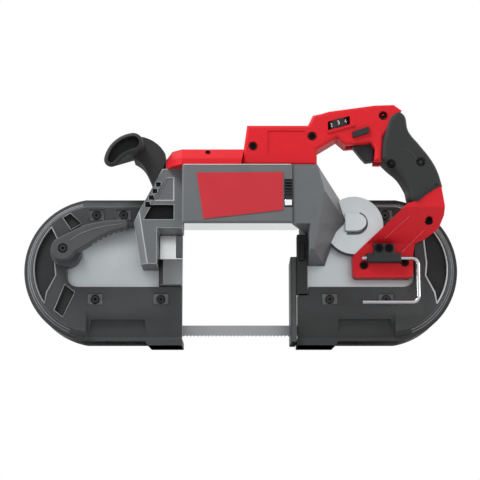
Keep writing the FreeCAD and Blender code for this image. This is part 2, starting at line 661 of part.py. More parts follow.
def involute_gear(teeth, module, play, tooth_angle):
    """Face of a spur gear about the origin in the XZ plane, with one tooth at tooth_angle."""
    pitch = module * teeth / 2
    base = pitch * math.cos(math.radians(20))
    tip = pitch + module * 0.95
    root = pitch - module * 1.2
    flat = math.tan(math.radians(20)) - math.radians(20)
    half = (math.pi * module / 2 - play) / 2 / pitch + flat
    flank = []
    for share in (0, 0.4, 0.75, 1):
        radius = base + (tip - base) * share
        roll = math.sqrt(max(radius * radius / (base * base) - 1, 0))
        flank.append((radius, half - (roll - math.atan(roll))))
    if root < base:
        flank.insert(0, (root, flank[0][1]))
    corners = []
    for tooth in range(teeth):
        middle = tooth_angle + 2 * math.pi * tooth / teeth
        corners += [(radius, middle - angle) for radius, angle in flank]
        corners += [(radius, middle + angle) for radius, angle in reversed(flank)]
    spots = [Vector(radius * math.cos(angle), 0, radius * math.sin(angle)) for radius, angle in corners]
    return Part.Face(Part.makePolygon(spots + spots[:1]))


def gear_solid(teeth, module, tooth_angle, x, z, y_low, y_high, bore):
    """Spur gear on a shaft along Y, bored for it."""
    face = involute_gear(teeth, float(module), size.tooth_play.value, tooth_angle)
    face.translate(point(x, y_low, z))
    blank = face.extrude(Vector(0, float(y_high - y_low), 0))
    if not bore:
        return blank
    return blank.cut(rod(point(x, y_low - size.overrun, z), point(x, y_high + size.overrun, z), bore))


def bevel_teeth_solids(apex, axis, across, count, cone_angle, cone, face_share, phase, module):
    """Straight bevel teeth: wedges that run to the apex, spread about an axis that points at the teeth."""
    solids = []
    third = axis.cross(across)
    width = math.pi * module / 4 * 0.72
    for index in range(count):
        turn_angle = phase + 2 * math.pi * index / count
        out = across * math.cos(turn_angle) + third * math.sin(turn_angle)
        tangent = third * math.cos(turn_angle) - across * math.sin(turn_angle)
        run = out * math.sin(cone_angle) + axis * math.cos(cone_angle)
        lift = out * math.cos(cone_angle) - axis * math.sin(cone_angle)
        wires = []
        for share in (1, 1 - face_share):
            corners = []
            for side, height in ((-1.25, -1.3), (1.25, -1.3), (0.45, 0.75), (-0.45, 0.75)):
                spot = run * cone + tangent * (side * width) + lift * (height * module)
                corners.append(apex + spot * share)
            wires.append(Part.makePolygon(corners + corners[:1]))
        solids.append(Part.makeLoft(wires, True, True))
    return solids


def gear_train():
    """Drive shaft, two geared shafts and the bevel pair that turns the motor's axis to the wheel's."""
    gear_near = behind(size.deck_skin + size.seat_gap * 4)
    gear_far = gear_near + size.gear_width
    lean = math.atan2((second_z - axle_height).value, (second_x - axle_x).value)
    solid_node("final_gear", gear_solid(final_teeth, size.final_module, lean, axle_x, axle_height,
                                        gear_near, gear_far, size.drive_shaft_radius))
    drive_end = deck_back - size.bearing_width + size.seat_gap
    shaft = new_body("drive_shaft")
    turn(shaft, "Y_Axis", [(NONE, drive_end - wheel_mid), (size.drive_shaft_radius, drive_end - wheel_mid),
                           (size.drive_shaft_radius, wheel_back - wheel_mid),
                           (NONE, wheel_back - wheel_mid)])
    place(shaft, axle_x, wheel_mid, axle_height)
    back = lean + math.pi + math.pi / second_pinion_teeth
    second_near = front(size.gear_rise + size.gear_width)
    second_far = front(size.gear_rise)
    second_end = cover_back - size.seat_gap
    pinion = gear_solid(second_pinion_teeth, size.final_module, back, second_x, second_z, gear_near,
                        gear_far, None)
    spindle = rod(point(second_x, second_near, second_z), point(second_x, second_end, second_z),
                  size.lay_shaft_radius)
    solid_node("second_shaft", spindle.fuse(pinion).removeSplitter())
    climb = math.atan2(first_climb.value, (first_x - second_x).value)
    solid_node("second_gear", gear_solid(second_teeth, size.spur_module, climb, second_x, second_z,
                                         second_near, second_far, size.lay_shaft_radius))
    first_end = front(size.motor_rise + size.lay_bearing_radius + size.bearing_width)
    first_phase = climb + math.pi + math.pi / first_pinion_teeth
    first_pinion = gear_solid(first_pinion_teeth, size.spur_module, first_phase, first_x, size.motor_height,
                              second_near, second_far, None)
    first_rod = rod(point(first_x, first_end, size.motor_height),
                    point(first_x, behind(size.bearing_width - size.fit), size.motor_height),
                    size.lay_shaft_radius)
    solid_node("first_shaft", first_rod.fuse(first_pinion).removeSplitter())
    module = size.bevel_module.value
    apex = point(first_x, front(size.motor_rise), size.motor_height)
    gear_pitch = module * bevel_teeth / 2
    pinion_pitch = module * bevel_pinion_teeth / 2
    cone = math.hypot(gear_pitch, pinion_pitch)
    face_share = 0.4
    gear_angle = math.atan2(gear_pitch, pinion_pitch)
    across = Vector(-1, 0, 0)
    to_deck = Vector(0, 1, 0)
    teeth = bevel_teeth_solids(apex, to_deck, across, bevel_teeth, gear_angle, cone, face_share,
                               math.pi / bevel_teeth, module)
    gear_face = float(front(size.motor_rise)) + pinion_pitch + module
    blank = Part.makeCylinder(gear_pitch + module * 0.3, gear_pitch * 0.5,
                              Vector(apex.x, gear_face, apex.z), to_deck)
    bore = rod(Vector(apex.x, apex.y, apex.z), Vector(apex.x, gear_face + gear_pitch, apex.z),
               size.lay_shaft_radius)
    solid_node("bevel_gear", blank.multiFuse(teeth).cut(bore).removeSplitter())
    to_motor = Vector(-1, 0, 0)
    pinion_teeth = bevel_teeth_solids(apex, to_motor, to_deck, bevel_pinion_teeth,
                                      math.pi / 2 - gear_angle, cone, face_share, 0, module)
    large = Vector(apex.x - gear_pitch, apex.y, apex.z)
    root = pinion_pitch - module * 1.1
    core = Part.makeCone(root, root * (1 - face_share), gear_pitch * face_share, large, Vector(1, 0, 0))
    motor_rod = rod(point(-size.housing_left + size.housing_wall + size.fit, apex.y, apex.z), large,
                    size.rotor_shaft_radius)
    solid_node("rotor_shaft", motor_rod.multiFuse([core] + pinion_teeth))


def gear_bearings():
    """Ball bearings of the three geared shafts."""
    width = size.bearing_width - size.fit
    drive, lay = size.drive_shaft_radius + size.fit, size.lay_shaft_radius + size.fit
    cover_seat = cover_back - size.cover_thick + size.fit
    first_seat = front(size.motor_rise + size.lay_bearing_radius + size.bearing_width)
    thin = size.cover_thick - size.seat_gap
    group_node("gear_bearings", [
        ring("drive_front", axle_x, deck_back - width, axle_height, drive, size.drive_bearing_radius,
             width),
        ring("drive_back", axle_x, cover_seat, axle_height, drive, size.drive_bearing_radius, width),
        ring("second_front", second_x, behind(size.seat_gap), second_z, lay, size.lay_bearing_radius,
             width),
        ring("second_back", second_x, cover_seat, second_z, lay, size.lay_bearing_radius, thin),
        ring("first_back", first_x, behind(NONE), size.motor_height, lay, size.lay_bearing_radius, width),
        ring("first_front", first_x, first_seat, size.motor_height, lay, size.lay_bearing_radius, width)])


def gear_cover():
    """Plate that closes the gear chamber towards the wheel and holds the rear bearings."""
    body = new_body("gear_cover")
    near = cover_back - size.cover_thick
    for x, z, reach in chamber_lobes:
        pad(body, "XZ_Plane", cover_back, near, [(x, z, reach + size.chamber_wall)])
    boss = cover_back + size.bearing_width - size.cover_thick + size.seat_gap
    pad(body, "XZ_Plane", boss, cover_back,
        [(axle_x, axle_height, size.drive_bearing_radius + size.chamber_wall)])
    cut(body, "XZ_Plane", boss, near, [(axle_x, axle_height, size.drive_bearing_radius + size.fit)])
    cut(body, "XZ_Plane", cover_back, near, [(second_x, second_z, size.lay_bearing_radius + size.fit)])
    return body


def motor_housing():
    """Moulded housing of the motor; its underside rises towards the deck."""
    body = new_body("motor_housing")
    wall = size.housing_wall
    shell = [(front(NONE), throat_top), (front(NONE), size.housing_top),
             (front(size.housing_rise), size.housing_top),
             (front(size.housing_rise), size.housing_low)]
    pad(body, "YZ_Plane", -size.housing_left, size.housing_right, [shell])
    soften(body, "Fillet", wall, lambda edge: edge_at(front(size.housing_rise), "y")(edge)
           and edge.Length > size.housing_left.value)
    room = [(front(wall), throat_top + wall), (front(wall), size.housing_top - wall),
            (front(size.housing_rise - wall), size.housing_top - wall),
            (front(size.housing_rise - wall), size.housing_low + wall * 1.4)]
    cut(body, "YZ_Plane", size.housing_right, wall - size.housing_left, [room])
    y, z = front(size.motor_rise), size.motor_height
    for middle in (-size.stator_length / 4, size.stator_length / 4):
        pad(body, "YZ_Plane", middle - wall / 2, middle + wall / 2, [room])
    cut(body, "YZ_Plane", size.housing_right, -size.housing_left + size.stator_length / 2,
        [(y, z, size.stator_radius + size.fit)])
    seat = wall - size.housing_left
    pad(body, "YZ_Plane", seat, seat + size.motor_bearing_width, [(y, z, size.motor_bearing_radius + wall)])
    cut(body, "YZ_Plane", seat + size.motor_bearing_width, seat,
        [(y, z, size.motor_bearing_radius + size.fit)])
    vent_left = size.housing_right - size.vent_side * 2
    vent_right = size.housing_right - size.vent_side * 0.2
    cut(body, "XZ_Plane", front(size.housing_rise), front(size.housing_rise - wall / 2),
        [box(vent_left, vent_right, size.motor_height - size.vent_side * 3.8,
             size.motor_height + size.vent_side * 2.6)])
    for index in range(5):
        low = size.motor_height + size.vent_side * (index * 0.48)
        cut(body, "XZ_Plane", front(size.housing_rise), front(size.housing_rise - wall),
            [box(vent_left + size.vent_side * 0.3, vent_right - size.vent_side * 0.3, low,
                 low + size.vent_side * 0.32)])
    return body


def motor():
    """Stator, rotor, cooling fan and the two bearings on the motor's axis."""
    y, z = front(size.motor_rise), size.motor_height
    half = size.stator_length / 2
    bore = size.rotor_radius + size.air_gap
    stator = new_body("stator")
    turn(stator, "X_Axis", [(-half, bore), (half, bore), (half, size.stator_radius),
                            (-half, size.stator_radius)])
    slot = cut(stator, "YZ_Plane", -half, half,
               [box(-size.rotor_shaft_radius / 4, size.rotor_shaft_radius / 4, size.rotor_radius,
                    size.stator_radius * 0.82)])
    around(stator, slot, "X_Axis", 12)
    place(stator, NONE, y, z)
    rotor = new_body("rotor")
    turn(rotor, "X_Axis", [(-half, size.rotor_shaft_radius), (half, size.rotor_shaft_radius),
                           (half, size.rotor_radius), (-half, size.rotor_radius)])
    place(rotor, NONE, y, z)
    fan = new_body("cooling_fan")
    hub = size.rotor_shaft_radius * 2
    width = size.fan_width
    turn(fan, "X_Axis", [(NONE, size.rotor_shaft_radius), (width, size.rotor_shaft_radius), (width, hub),
                         (width / 4, hub), (width / 4, size.fan_radius), (NONE, size.fan_radius)])
    blade = pad(fan, "YZ_Plane", width / 4, width,
                [box(-size.rotor_shaft_radius / 6, size.rotor_shaft_radius / 6, hub - size.fit * 4,
                     size.fan_radius)])
    around(fan, blade, "X_Axis", 9)
    place(fan, half + size.fan_width / 2, y, z)
    width = size.motor_bearing_width - size.fit
    inner = size.rotor_shaft_radius + size.fit
    bearings = []
    for label, x in (("motor_left", size.housing_wall - size.housing_left),
                     ("motor_right", size.housing_right + size.fit)):
        bearing = new_body(label, False)
        turn(bearing, "X_Axis", [(NONE, inner), (width, inner), (width, size.motor_bearing_radius),
                                 (NONE, size.motor_bearing_radius)])
        place(bearing, x, y, z)
        bearings.append(bearing)
    group_node("motor_bearings", bearings)


def gear_housing():
    """Faceted gear housing that tapers from the deck to its front, bored for the gears inside."""
    body = new_body("gear_housing")
    reach = size.gear_case_reach - size.housing_right
    tall = size.housing_top - size.gear_case_low
    foot = spread(gear_foot_shares, size.housing_right, size.gear_case_low, reach, tall)
    crown = spread(gear_crown_shares, size.housing_right, size.gear_case_low, reach, tall)
    loft(body, "XZ_Plane", [(front(NONE), foot), (front(size.gear_case_rise), crown)])
    y, z = front(size.motor_rise), size.motor_height
    gap = size.seat_gap
    cut(body, "XZ_Plane", front(NONE), front(size.gear_boss_rise + gap),
        [(second_x, second_z, boss_radius + gap)])
    cut(body, "XZ_Plane", front(NONE), front(size.gear_boss_rise + size.bearing_width + gap),
        [(second_x, second_z, size.lay_bearing_radius * 1.5)])
    cut(body, "XZ_Plane", front(NONE), front(size.gear_rise + size.gear_width + gap),
        [(first_x, z, first_bore)])
    bevel_bore = size.bevel_module * (bevel_teeth / 2 + 1.6)
    cut(body, "XZ_Plane", front(NONE), front(size.motor_rise), [(first_x, z, bevel_bore)])
    cut(body, "XZ_Plane", front(NONE), front(size.motor_rise + size.lay_bearing_radius),
        [(first_x, z, size.lay_shaft_radius + gap)])
    seat = front(size.motor_rise + size.lay_bearing_radius)
    cut(body, "XZ_Plane", seat + size.overrun, seat - size.bearing_width - size.fit,
        [(first_x, z, size.lay_bearing_radius + size.fit)])
    wall_end = size.housing_right + size.motor_bearing_width
    cut(body, "YZ_Plane", size.housing_right, wall_end + size.fit * 2,
        [(y, z, size.motor_bearing_radius + size.fit)])
    cut(body, "YZ_Plane", size.housing_right, first_x - size.lay_shaft_radius,
        [(y, z, size.bevel_module * (bevel_pinion_teeth / 2 + 1.6))])
    return body


def left_support():
    """Ribbed casting that carries the front handle and stands on the deck with one leg."""
    body = new_body("left_support")
    right = -size.housing_left
    leg_right = -size.post_left - size.seat_gap
    bottom = size.post_high + size.seat_gap
    outline = [(right, bottom), (right, size.housing_top), (support_top, size.housing_top),
               (-size.support_left, support_shoulder),
               (-size.support_left + size.support_bevel, size.support_low),
               (leg_right, size.support_low), (leg_right, bottom)]
    face = front(size.support_rise)
    pad(body, "XZ_Plane", front(NONE), face, [outline])
    soften(body, "Chamfer", size.support_bevel, lambda edge: edge_at(face, "y")(edge)
           and edge.CenterOfMass.x < leg_right.value - size.support_bevel.value
           and size.support_low.value < edge.CenterOfMass.z - size.fit.value < support_shoulder.value)
    run_x = support_top + size.support_left
    run_z = size.housing_top - support_shoulder
    rib = size.housing_wall
    inset = size.vent_side * 2.1
    for high_share, foot_share, floor_share in ((0.17, 0.6, 0.75), (0.69, 0.96, 0.7)):
        top, low = size.housing_top - run_z * high_share, size.housing_top - run_z * foot_share
        bay = [(right - rib * 3.4, low), (right - rib * 3.4, top),
               (support_top - run_x * high_share + inset, top),
               (support_top - run_x * foot_share + inset, low)]
        cut(body, "XZ_Plane", face, front(size.support_rise * floor_share), [bay])
    half = size.vent_side / 2
    for share in (0.3, 0.425, 0.55, 0.675):
        x = support_top - run_x * share + size.vent_side * 1.05
        z = size.housing_top - run_z * share
        cut(body, "XZ_Plane", face, face + size.vent_side, [box(x - half, x + half, z - half, z + half)])
    return body


def throat_post():
    """Stepped post over the left blade guide, beside the throat."""
    body = new_body("throat_post")
    low = size.window_low + size.seat_gap
    knee = low + (size.post_high - low) / 2
    step = size.post_rise * 0.3
    face = [(front(NONE), low), (front(size.post_rise), low + size.overrun), (front(size.post_rise), knee),
            (front(step), knee + size.overrun), (front(step), size.post_high), (front(NONE), size.post_high)]
    pad(body, "YZ_Plane", -size.post_left, -size.throat_left, [face])
    soften(body, "Chamfer", size.post_rise / 4, lambda edge: edge_at(-size.post_left, "x")(edge)
           and edge_at(front(size.post_rise), "y")(edge))
    cut(body, "XZ_Plane", front(step), front(step / 2),
        [box(-size.throat_left - size.notch_width, -size.throat_left, knee + size.overrun * 2,
             size.post_high)])
    return body


def blade():
    """Blade loop: flat on the wheels, twisted upright between the guides, with teeth that point down."""
    inner = (size.band_radius + size.wheel_gap).value
    thick, width = size.blade_thick.value, size.blade_width.value
    x, y, z = axle_x.value, wheel_mid.value, axle_height.value
    pieces = []
    for side in (-1, 1):
        tube = Part.makeCylinder(inner + thick, width, Vector(side * x, y - width / 2, z), Vector(0, 1, 0))
        tube = tube.cut(Part.makeCylinder(inner, width, Vector(side * x, y - width / 2, z),
                                          Vector(0, 1, 0)))
        half = Part.makeBox(inner * 2, width * 2, inner * 4,
                            Vector(x if side > 0 else -x - inner * 2, y - width, z - inner * 2))
        pieces.append(tube.common(half))
    pieces.append(Part.makeBox(x * 2, width, thick, Vector(-x, y - width / 2, z + inner)))
    low = z - inner - thick / 2
    start = x - size.band_radius.value * 0.24
    guide = size.throat_right.value + size.guide_gap.value + size.guide_width.value
    lift = size.cut_height.value - low
    for side in (-1, 1):
        run = Part.makeBox(x - start, width, thick,
                           Vector(start if side > 0 else -x, y - width / 2, low - thick / 2))
        pieces.append(run)
        wires = []
        for share in (0, 0.2, 0.4, 0.6, 0.8, 1):
            ease = share * share * (3 - 2 * share)
            spot = side * (start + (guide - start) * share)
            twist = math.pi / 2 * ease
            along = Vector(0, math.cos(twist), side * math.sin(twist)) * (width / 2)
            across = Vector(0, -side * math.sin(twist), math.cos(twist)) * (thick / 2)
            middle = Vector(spot, y, low + lift * ease)
            corners = [middle + along + across, middle - along + across, middle - along - across,
                       middle + along - across]
            wires.append(Part.makePolygon(corners + corners[:1]))
        pieces.append(Part.makeLoft(wires, True, False))
    top = size.cut_height.value + width / 2
    teeth = int(guide * 2 / size.tooth_pitch.value)
    pitch = guide * 2 / teeth
    gullet = top - width + size.tooth_height.value
    profile = [Vector(guide, y - thick / 2, gullet), Vector(guide, y - thick / 2, top),
               Vector(-guide, y - thick / 2, top)]
    for tooth in range(teeth):
        left = tooth * pitch - guide
        profile += [Vector(left, y - thick / 2, gullet), Vector(left, y - thick / 2, top - width),
                    Vector(left + pitch * 0.2, y - thick / 2, top - width),
                    Vector(left + pitch * 0.75, y - thick / 2, gullet)]
    face = Part.Face(Part.makePolygon(profile + profile[:1]))
    pieces.append(face.extrude(Vector(0, thick, 0)))
    return solid_node("blade", pieces[0].multiFuse(pieces[1:]))


def tension():
    """Idler axle on its slide, the cam shaft that draws it in and the lever that turns the cam."""
    y_slide = slide_back - size.slide_thick
    slide = new_body("tension_slide")
    half_z = size.slide_width / 2
    right = -axle_x + size.slide_length / 2 - size.cam_throw * 2 - size.overrun
    left = lever_x - size.cam_throw - size.collar_radius * 0.7
    ear_right = lever_x - size.cam_throw + size.cam_radius
    ear_high = lever_z + size.cam_throw + size.cam_pin_radius * 3
    low, high = axle_height - half_z, axle_height + half_z
    plate = [(left, low), (right, low), (right, high), (ear_right, high), (ear_right, ear_high),
             (left, ear_high)]
    pad(slide, "XZ_Plane", slide_back, y_slide, [plate])
    play = size.cam_pin_radius + size.cam_throw * 0.22 + size.slide_play / 2
    tall = size.cam_pin_radius + size.cam_throw + size.slide_play
    pin_x = lever_x - size.cam_throw
    cut(slide, "XZ_Plane", slide_back, y_slide,
        [box(pin_x - play, pin_x + play, lever_z - tall, lever_z + tall)])
    pad(slide, "XZ_Plane", slide_back, slide_back + size.seat_gap,
        [(-axle_x, axle_height, size.axle_radius + size.rim_thick / 2)])
    pad(slide, "XZ_Plane", slide_back, wheel_back, [(-axle_x, axle_height, size.axle_radius)])
    spring_left = right - size.spring_length - size.rim_thick
    pocket = box(spring_left, right - size.rim_thick / 2, low + size.rim_thick / 2,
                 low + size.rim_thick / 2 + size.spring_radius * 2 + size.slide_play)
    cut(slide, "XZ_Plane", slide_back, y_slide, [pocket])
    spring = new_body("tension_spring")
    discs = 6
    turn(spring, "X_Axis", [(NONE, size.rod_radius)] + spring_corners(discs, size.spring_length / discs)
         + [(size.spring_length, size.rod_radius)])
    place(spring, spring_left + size.slide_play, y_slide + size.slide_thick / 2,
          low + size.rim_thick / 2 + size.spring_radius + size.slide_play / 2)
    cam = new_body("tension_cam_shaft")
    cam_near = deck_back + size.slide_play
    pad(cam, "XZ_Plane", cam_near, front(size.lever_rise - size.lever_thick / 2),
        [(lever_x, lever_z, size.cam_shaft_radius)])
    pad(cam, "XZ_Plane", cam_near + size.cam_width, cam_near, [(lever_x, lever_z, size.cam_radius)])
    pad(cam, "XZ_Plane", slide_back, cam_near, [(pin_x, lever_z, size.cam_pin_radius)])
    lever = new_body("tension_lever")
    pad(lever, "XZ_Plane", front(size.seat_gap), front(size.collar_rise),
        [(lever_x, lever_z, size.collar_radius)])
    pad(lever, "XZ_Plane", front(size.collar_rise), front(size.lever_rise),
        [(lever_x, lever_z, size.lever_hub_radius)])
    arm = spread(lever_arm_shares, lever_x, lever_z, size.lever_length, size.lever_length)
    pad(lever, "XZ_Plane", front(size.lever_rise - size.lever_thick), front(size.lever_rise), [arm])
    soften(lever, "Fillet", size.overrun * 0.75, edge_at(front(size.lever_rise), "y"))
    grip_low = spread(lever_rib_shares, lever_x, lever_z, size.lever_length, size.lever_length)
    for x, z in grip_low:
        cut(lever, "XZ_Plane", front(size.lever_rise - size.lever_thick),
            front(size.lever_rise - size.lever_thick * 0.35), [(x, z, size.screw_radius * 0.7)])
    cut(lever, "XZ_Plane", front(NONE), front(size.lever_rise - size.lever_thick / 2),
        [(lever_x, lever_z, size.cam_shaft_radius)])
    cut(lever, "XZ_Plane", front(size.lever_rise), front(size.lever_rise - size.screw_head),
        [(lever_x, lever_z, size.screw_head_radius * 1.3)])
    cut(lever, "XZ_Plane", front(size.lever_rise), front(NONE), [(lever_x, lever_z, size.screw_radius)])


def spring_corners(discs, step):
    """Stepped outer edge of a stack of disc springs."""
    corners = []
    for index in range(discs):
        tall = size.spring_radius if index % 2 else size.spring_radius * 0.8
        corners += [(step * index, tall), (step * (index + 1), tall)]
    return corners


def idler_bearings():
    """Two ball bearings between the idler wheel and its axle."""
    width = size.wheel_width / 3
    group_node("idler_bearings", [
        ring("idler_front", -axle_x, wheel_front, axle_height, size.axle_radius, size.idler_bearing_radius,
             width),
        ring("idler_back", -axle_x, wheel_back - width, axle_height, size.axle_radius,
             size.idler_bearing_radius, width)])


def blade_guide(name, x):
    """Guide block with two side rollers and a thrust roller that hold the blade upright."""
    body = new_body(name + "_guide")
    y = wheel_mid
    half = size.guide_width / 2
    slot = size.thrust_width / 2 + size.seat_gap
    cheek = size.roller_radius + size.pin_radius * 2
    low = blade_top + size.guide_gap
    saddle = thrust_z + size.thrust_radius + size.seat_gap
    block = [(y - cheek, low), (y - slot, low), (y - slot, saddle), (y + slot, saddle), (y + slot, low),
             (y + cheek, low), (y + cheek, size.guide_high), (deck_back, size.guide_high),
             (deck_back, saddle + half), (y - cheek, saddle + size.guide_gap)]
    pad(body, "YZ_Plane", x - half, x + half, [block])
    pad(body, "XZ_Plane", y + cheek, y - cheek, [(x, thrust_z, size.pin_radius)])
    pin_end = size.cut_height - size.roller_width / 2
    for side in (-1, 1):
        pad(body, "XY_Plane", low, pin_end, [(x, y + roller_offset * side, size.pin_radius)])
    for side, end in ((-1, "front"), (1, "back")):
        roller = new_body("%s_%s_roller" % (name, end))
        inner = size.pin_radius + size.fit
        half_width = size.roller_width / 2
        turn(roller, "Z_Axis", [(inner, -half_width), (size.roller_radius, -half_width),
                                (size.roller_radius, half_width), (inner, half_width)])
        place(roller, x, y + roller_offset * side, size.cut_height)
    thrust = new_body(name + "_thrust_roller")
    half_width = size.thrust_width / 2
    inner = size.pin_radius + size.fit
    turn(thrust, "Y_Axis", [(inner, -half_width), (size.thrust_radius, -half_width),
                            (size.thrust_radius, half_width), (inner, half_width)])
    place(thrust, x, y, thrust_z)


def shoe():
    """Adjustable shoe that the work rests against, its fixed holder and the latch that locks it."""
    body = new_body("shoe")
    left, right = size.shoe_left, size.shoe_left + size.shoe_thick
    near, far = front(size.shoe_rise), behind(size.shoe_depth)
    pad(body, "XZ_Plane", far, near, [box(left, right, size.shoe_low, size.shoe_high)])
    stem_near, stem_far = front(size.stem_width + size.overrun), front(size.overrun)
    stem_right = right + size.stem_width
    pad(body, "XZ_Plane", stem_far, stem_near, [box(right, stem_right, size.holder_low, size.shoe_high)])
    slot = size.shoe_slot / 2
    cut(body, "YZ_Plane", left, right,
        [box(wheel_mid - slot, wheel_mid + slot, size.shoe_low, blade_top + size.guide_gap)])
    soften(body, "Fillet", size.shoe_thick / 3, lambda edge: edge_at(left, "x")(edge)
           and edge_at(near, "y")(edge))
    holder = new_body("shoe_holder")
    gap = size.seat_gap
    hold_left = right + gap
    hold_right = size.guard_right_edge - gap * 3
    pad(holder, "XZ_Plane", front(NONE), front(size.holder_rise),
        [box(hold_left, hold_right, size.holder_low, size.holder_high)])
    cut(holder, "XY_Plane", size.holder_low, size.holder_high,
        [box(hold_left, stem_right + gap, stem_near - gap, stem_far + gap)])
    latch_x = (hold_left + hold_right) / 2
    latch_z = size.holder_high - size.latch_length
    half_x, half_z = size.latch_width / 2, size.latch_length / 2
    floor = size.stem_width + size.overrun + gap * 2
    cut(holder, "XZ_Plane", front(size.holder_rise), front(floor),
        [box(latch_x - half_x - gap, latch_x + half_x + gap, latch_z - half_z - gap,
             latch_z + half_z + gap)])
    latch = new_body("shoe_latch")
    rest = floor + size.latch_travel + gap / 2
    pad(latch, "XZ_Plane", front(rest), front(size.holder_rise + size.latch_travel + gap),
        [box(latch_x - half_x, latch_x + half_x, latch_z - half_z, latch_z + half_z)])
    soften(latch, "Fillet", gap * 2, edge_at(front(size.holder_rise + size.latch_travel + gap), "y"))


def handle_halves():
    """Clamshell of the rear handle: two hollow halves with a tongue inside the grip."""
    split = front(size.handle_split)
    outline = handle_outline(handle_shares)
    room = handle_outline(handle_room_shares)
    block = handle_outline(block_shares)
    block_room = handle_outline(block_room_shares)
    tongue = handle_outline(tongue_shares)
    trigger_half = size.trigger_thick / 2 + size.trigger_play
    slot = handle_outline(trigger_slot_shares)
    lock = lock_outline(size.lock_play)
    for label, face, sign in (("handle_front_half", front(size.handle_rise), -1),
                              ("handle_back_half", front(size.handle_back), 1)):
        body = new_body(label)
        pad(body, "XZ_Plane", split, face, [outline])
        soften(body, "Fillet", size.handle_round, edge_at(face, "y"))
        pad(body, "XZ_Plane", split, split + size.tongue_thick * sign, [tongue])
        cut(body, "XZ_Plane", split, face - size.handle_wall * sign, [room])
        if sign > 0:
            back = front(size.block_back)
            pad(body, "XZ_Plane", face, back, [block])
            cut(body, "XZ_Plane", split, back - size.handle_wall, [block_room])
        for x, z in handle_screw_places[:3]:
            pad(body, "XZ_Plane", split, face - size.handle_wall * sign,
                [(x, z, size.screw_head_radius * 1.4)])
            if sign < 0:
                cut(body, "XZ_Plane", face, face + size.screw_head,
                    [(x, z, size.screw_head_radius + size.fit)])
                cut(body, "XZ_Plane", face, split, [(x, z, size.screw_radius + size.fit)])
            else:
                cut(body, "XZ_Plane", split, split + size.screw_grip + size.overrun,
                    [(x, z, size.screw_radius + size.fit)])
        x, z = handle_screw_places[4]
        cut(body, "XZ_Plane", split, split + size.tongue_thick * sign,
            [(x, z, size.screw_radius + size.fit)])
        cut(body, "XZ_Plane", split, split + trigger_half * sign, [slot])
        cut(body, "XZ_Plane", split, face + size.overrun * sign, [lock])
        if sign < 0:
            cut(body, "XZ_Plane", split, face - size.overrun, [dial_window(size.dial_play)])
            cut(body, "XZ_Plane", face, face + size.handle_wall / 3, [handle_outline(panel_shares)])
            pad(body, "XZ_Plane", face, face - size.grip_bulge, [handle_outline(ledge_shares)])


def grip_halves():
    """Soft grip over the rear handle's tongue, split like the handle."""
    split = front(size.handle_split)
    outline = handle_outline(grip_shares)
    tongue = handle_outline(tongue_shares)
    for label, face, sign in (("grip_front", front(size.handle_rise + size.grip_bulge), -1),
                              ("grip_back", front(size.handle_back - size.grip_bulge), 1)):
        body = new_body(label)
        pad(body, "XZ_Plane", split, face, [outline])
        soften(body, "Fillet", size.handle_round, edge_at(face, "y"))
        cut(body, "XZ_Plane", split, split + size.tongue_thick * sign, [tongue])
        for x, z in handle_screw_places[3:5]:
            if sign < 0:
                cut(body, "XZ_Plane", face, face + size.screw_head,
                    [(x, z, size.screw_head_radius + size.fit)])
                cut(body, "XZ_Plane", face, split, [(x, z, size.screw_radius + size.fit)])
            else:
                cut(body, "XZ_Plane", split, split + size.screw_grip + size.overrun,
                    [(x, z, size.screw_radius + size.fit)])


def lower_arm():
    """Lower arm of the rear handle: it leans from the grip down to a foot on the deck."""
    body = new_body("handle_lower_arm")
    outline = spread(arm_shares, size.arm_left, size.arm_low, size.arm_length, size.arm_height)
    pad(body, "XZ_Plane", front(NONE), front(size.handle_rise), [outline])
    low, tall = size.arm_low, size.arm_height
    beyond = size.handle_rise + size.overrun
    ahead = [(front(size.handle_rise), low + tall), (front(size.handle_rise * 0.96), low + tall * 0.75),
             (front(size.foot_rise), low + tall * 0.4), (front(size.foot_rise), low - size.overrun),
             (front(beyond), low - size.overrun), (front(beyond), low + tall)]
    cut(body, "YZ_Plane", size.arm_left - size.overrun, size.arm_left + size.arm_length * 1.1, [ahead])
    clear = size.gear_boss_rise + size.seat_gap
    under = [(front(size.handle_back), low + tall), (front(clear + size.overrun * 3), low + tall * 0.58),
             (front(clear), low + tall * 0.38), (front(clear), low + tall * 0.27),
             (behind(size.overrun), low + tall * 0.27), (behind(size.overrun), low + tall)]
    cut(body, "YZ_Plane", size.arm_left - size.overrun, size.arm_left + size.arm_length * 1.1, [under])
    x, z = handle_screw_places[5]
    cut(body, "XZ_Plane", front(beyond), front(size.arm_screw_rise),
        [(x, z, size.screw_head_radius + size.fit)])
    cut(body, "XZ_Plane", front(beyond), front(size.arm_screw_rise - size.screw_grip - size.overrun),
        [(x, z, size.screw_radius + size.fit)])
    for x, z in foot_screw_places:
        cut(body, "XZ_Plane", front(size.foot_rise), front(size.foot_rise - size.screw_head),
            [(x, z, size.screw_head_radius + size.fit)])
        cut(body, "XZ_Plane", front(size.foot_rise),
            front(size.foot_rise - size.screw_head - size.screw_grip),
            [(x, z, size.screw_radius + size.fit)])
    return body


def lock_outline(play):
    """Slanted end of the lock button, grown by the play round it."""
    left = size.dial_x + size.dial_radius + size.dial_play * 8
    low = size.dial_height - size.dial_radius * 1.45
    wide, tall = size.dial_radius * 1.5, size.dial_width * 0.75
    lean = size.dial_radius * 0.5
    return [(left - play, low - play), (left + wide + play, low + lean - play),
            (left + wide + play, low + lean + tall + play), (left - play, low + tall + play)]


def dial_window(play):
    """Slanted window of the speed dial in the handle's front."""
    half = size.dial_radius + play
    tall = size.dial_width / 2 + play * 1.2
    rise = half * dial_slope_share
    x, z = size.dial_x, size.dial_height
    return [(x - half, z - rise - tall), (x + half, z + rise - tall), (x + half, z + rise + tall),
            (x - half, z - rise + tall)]


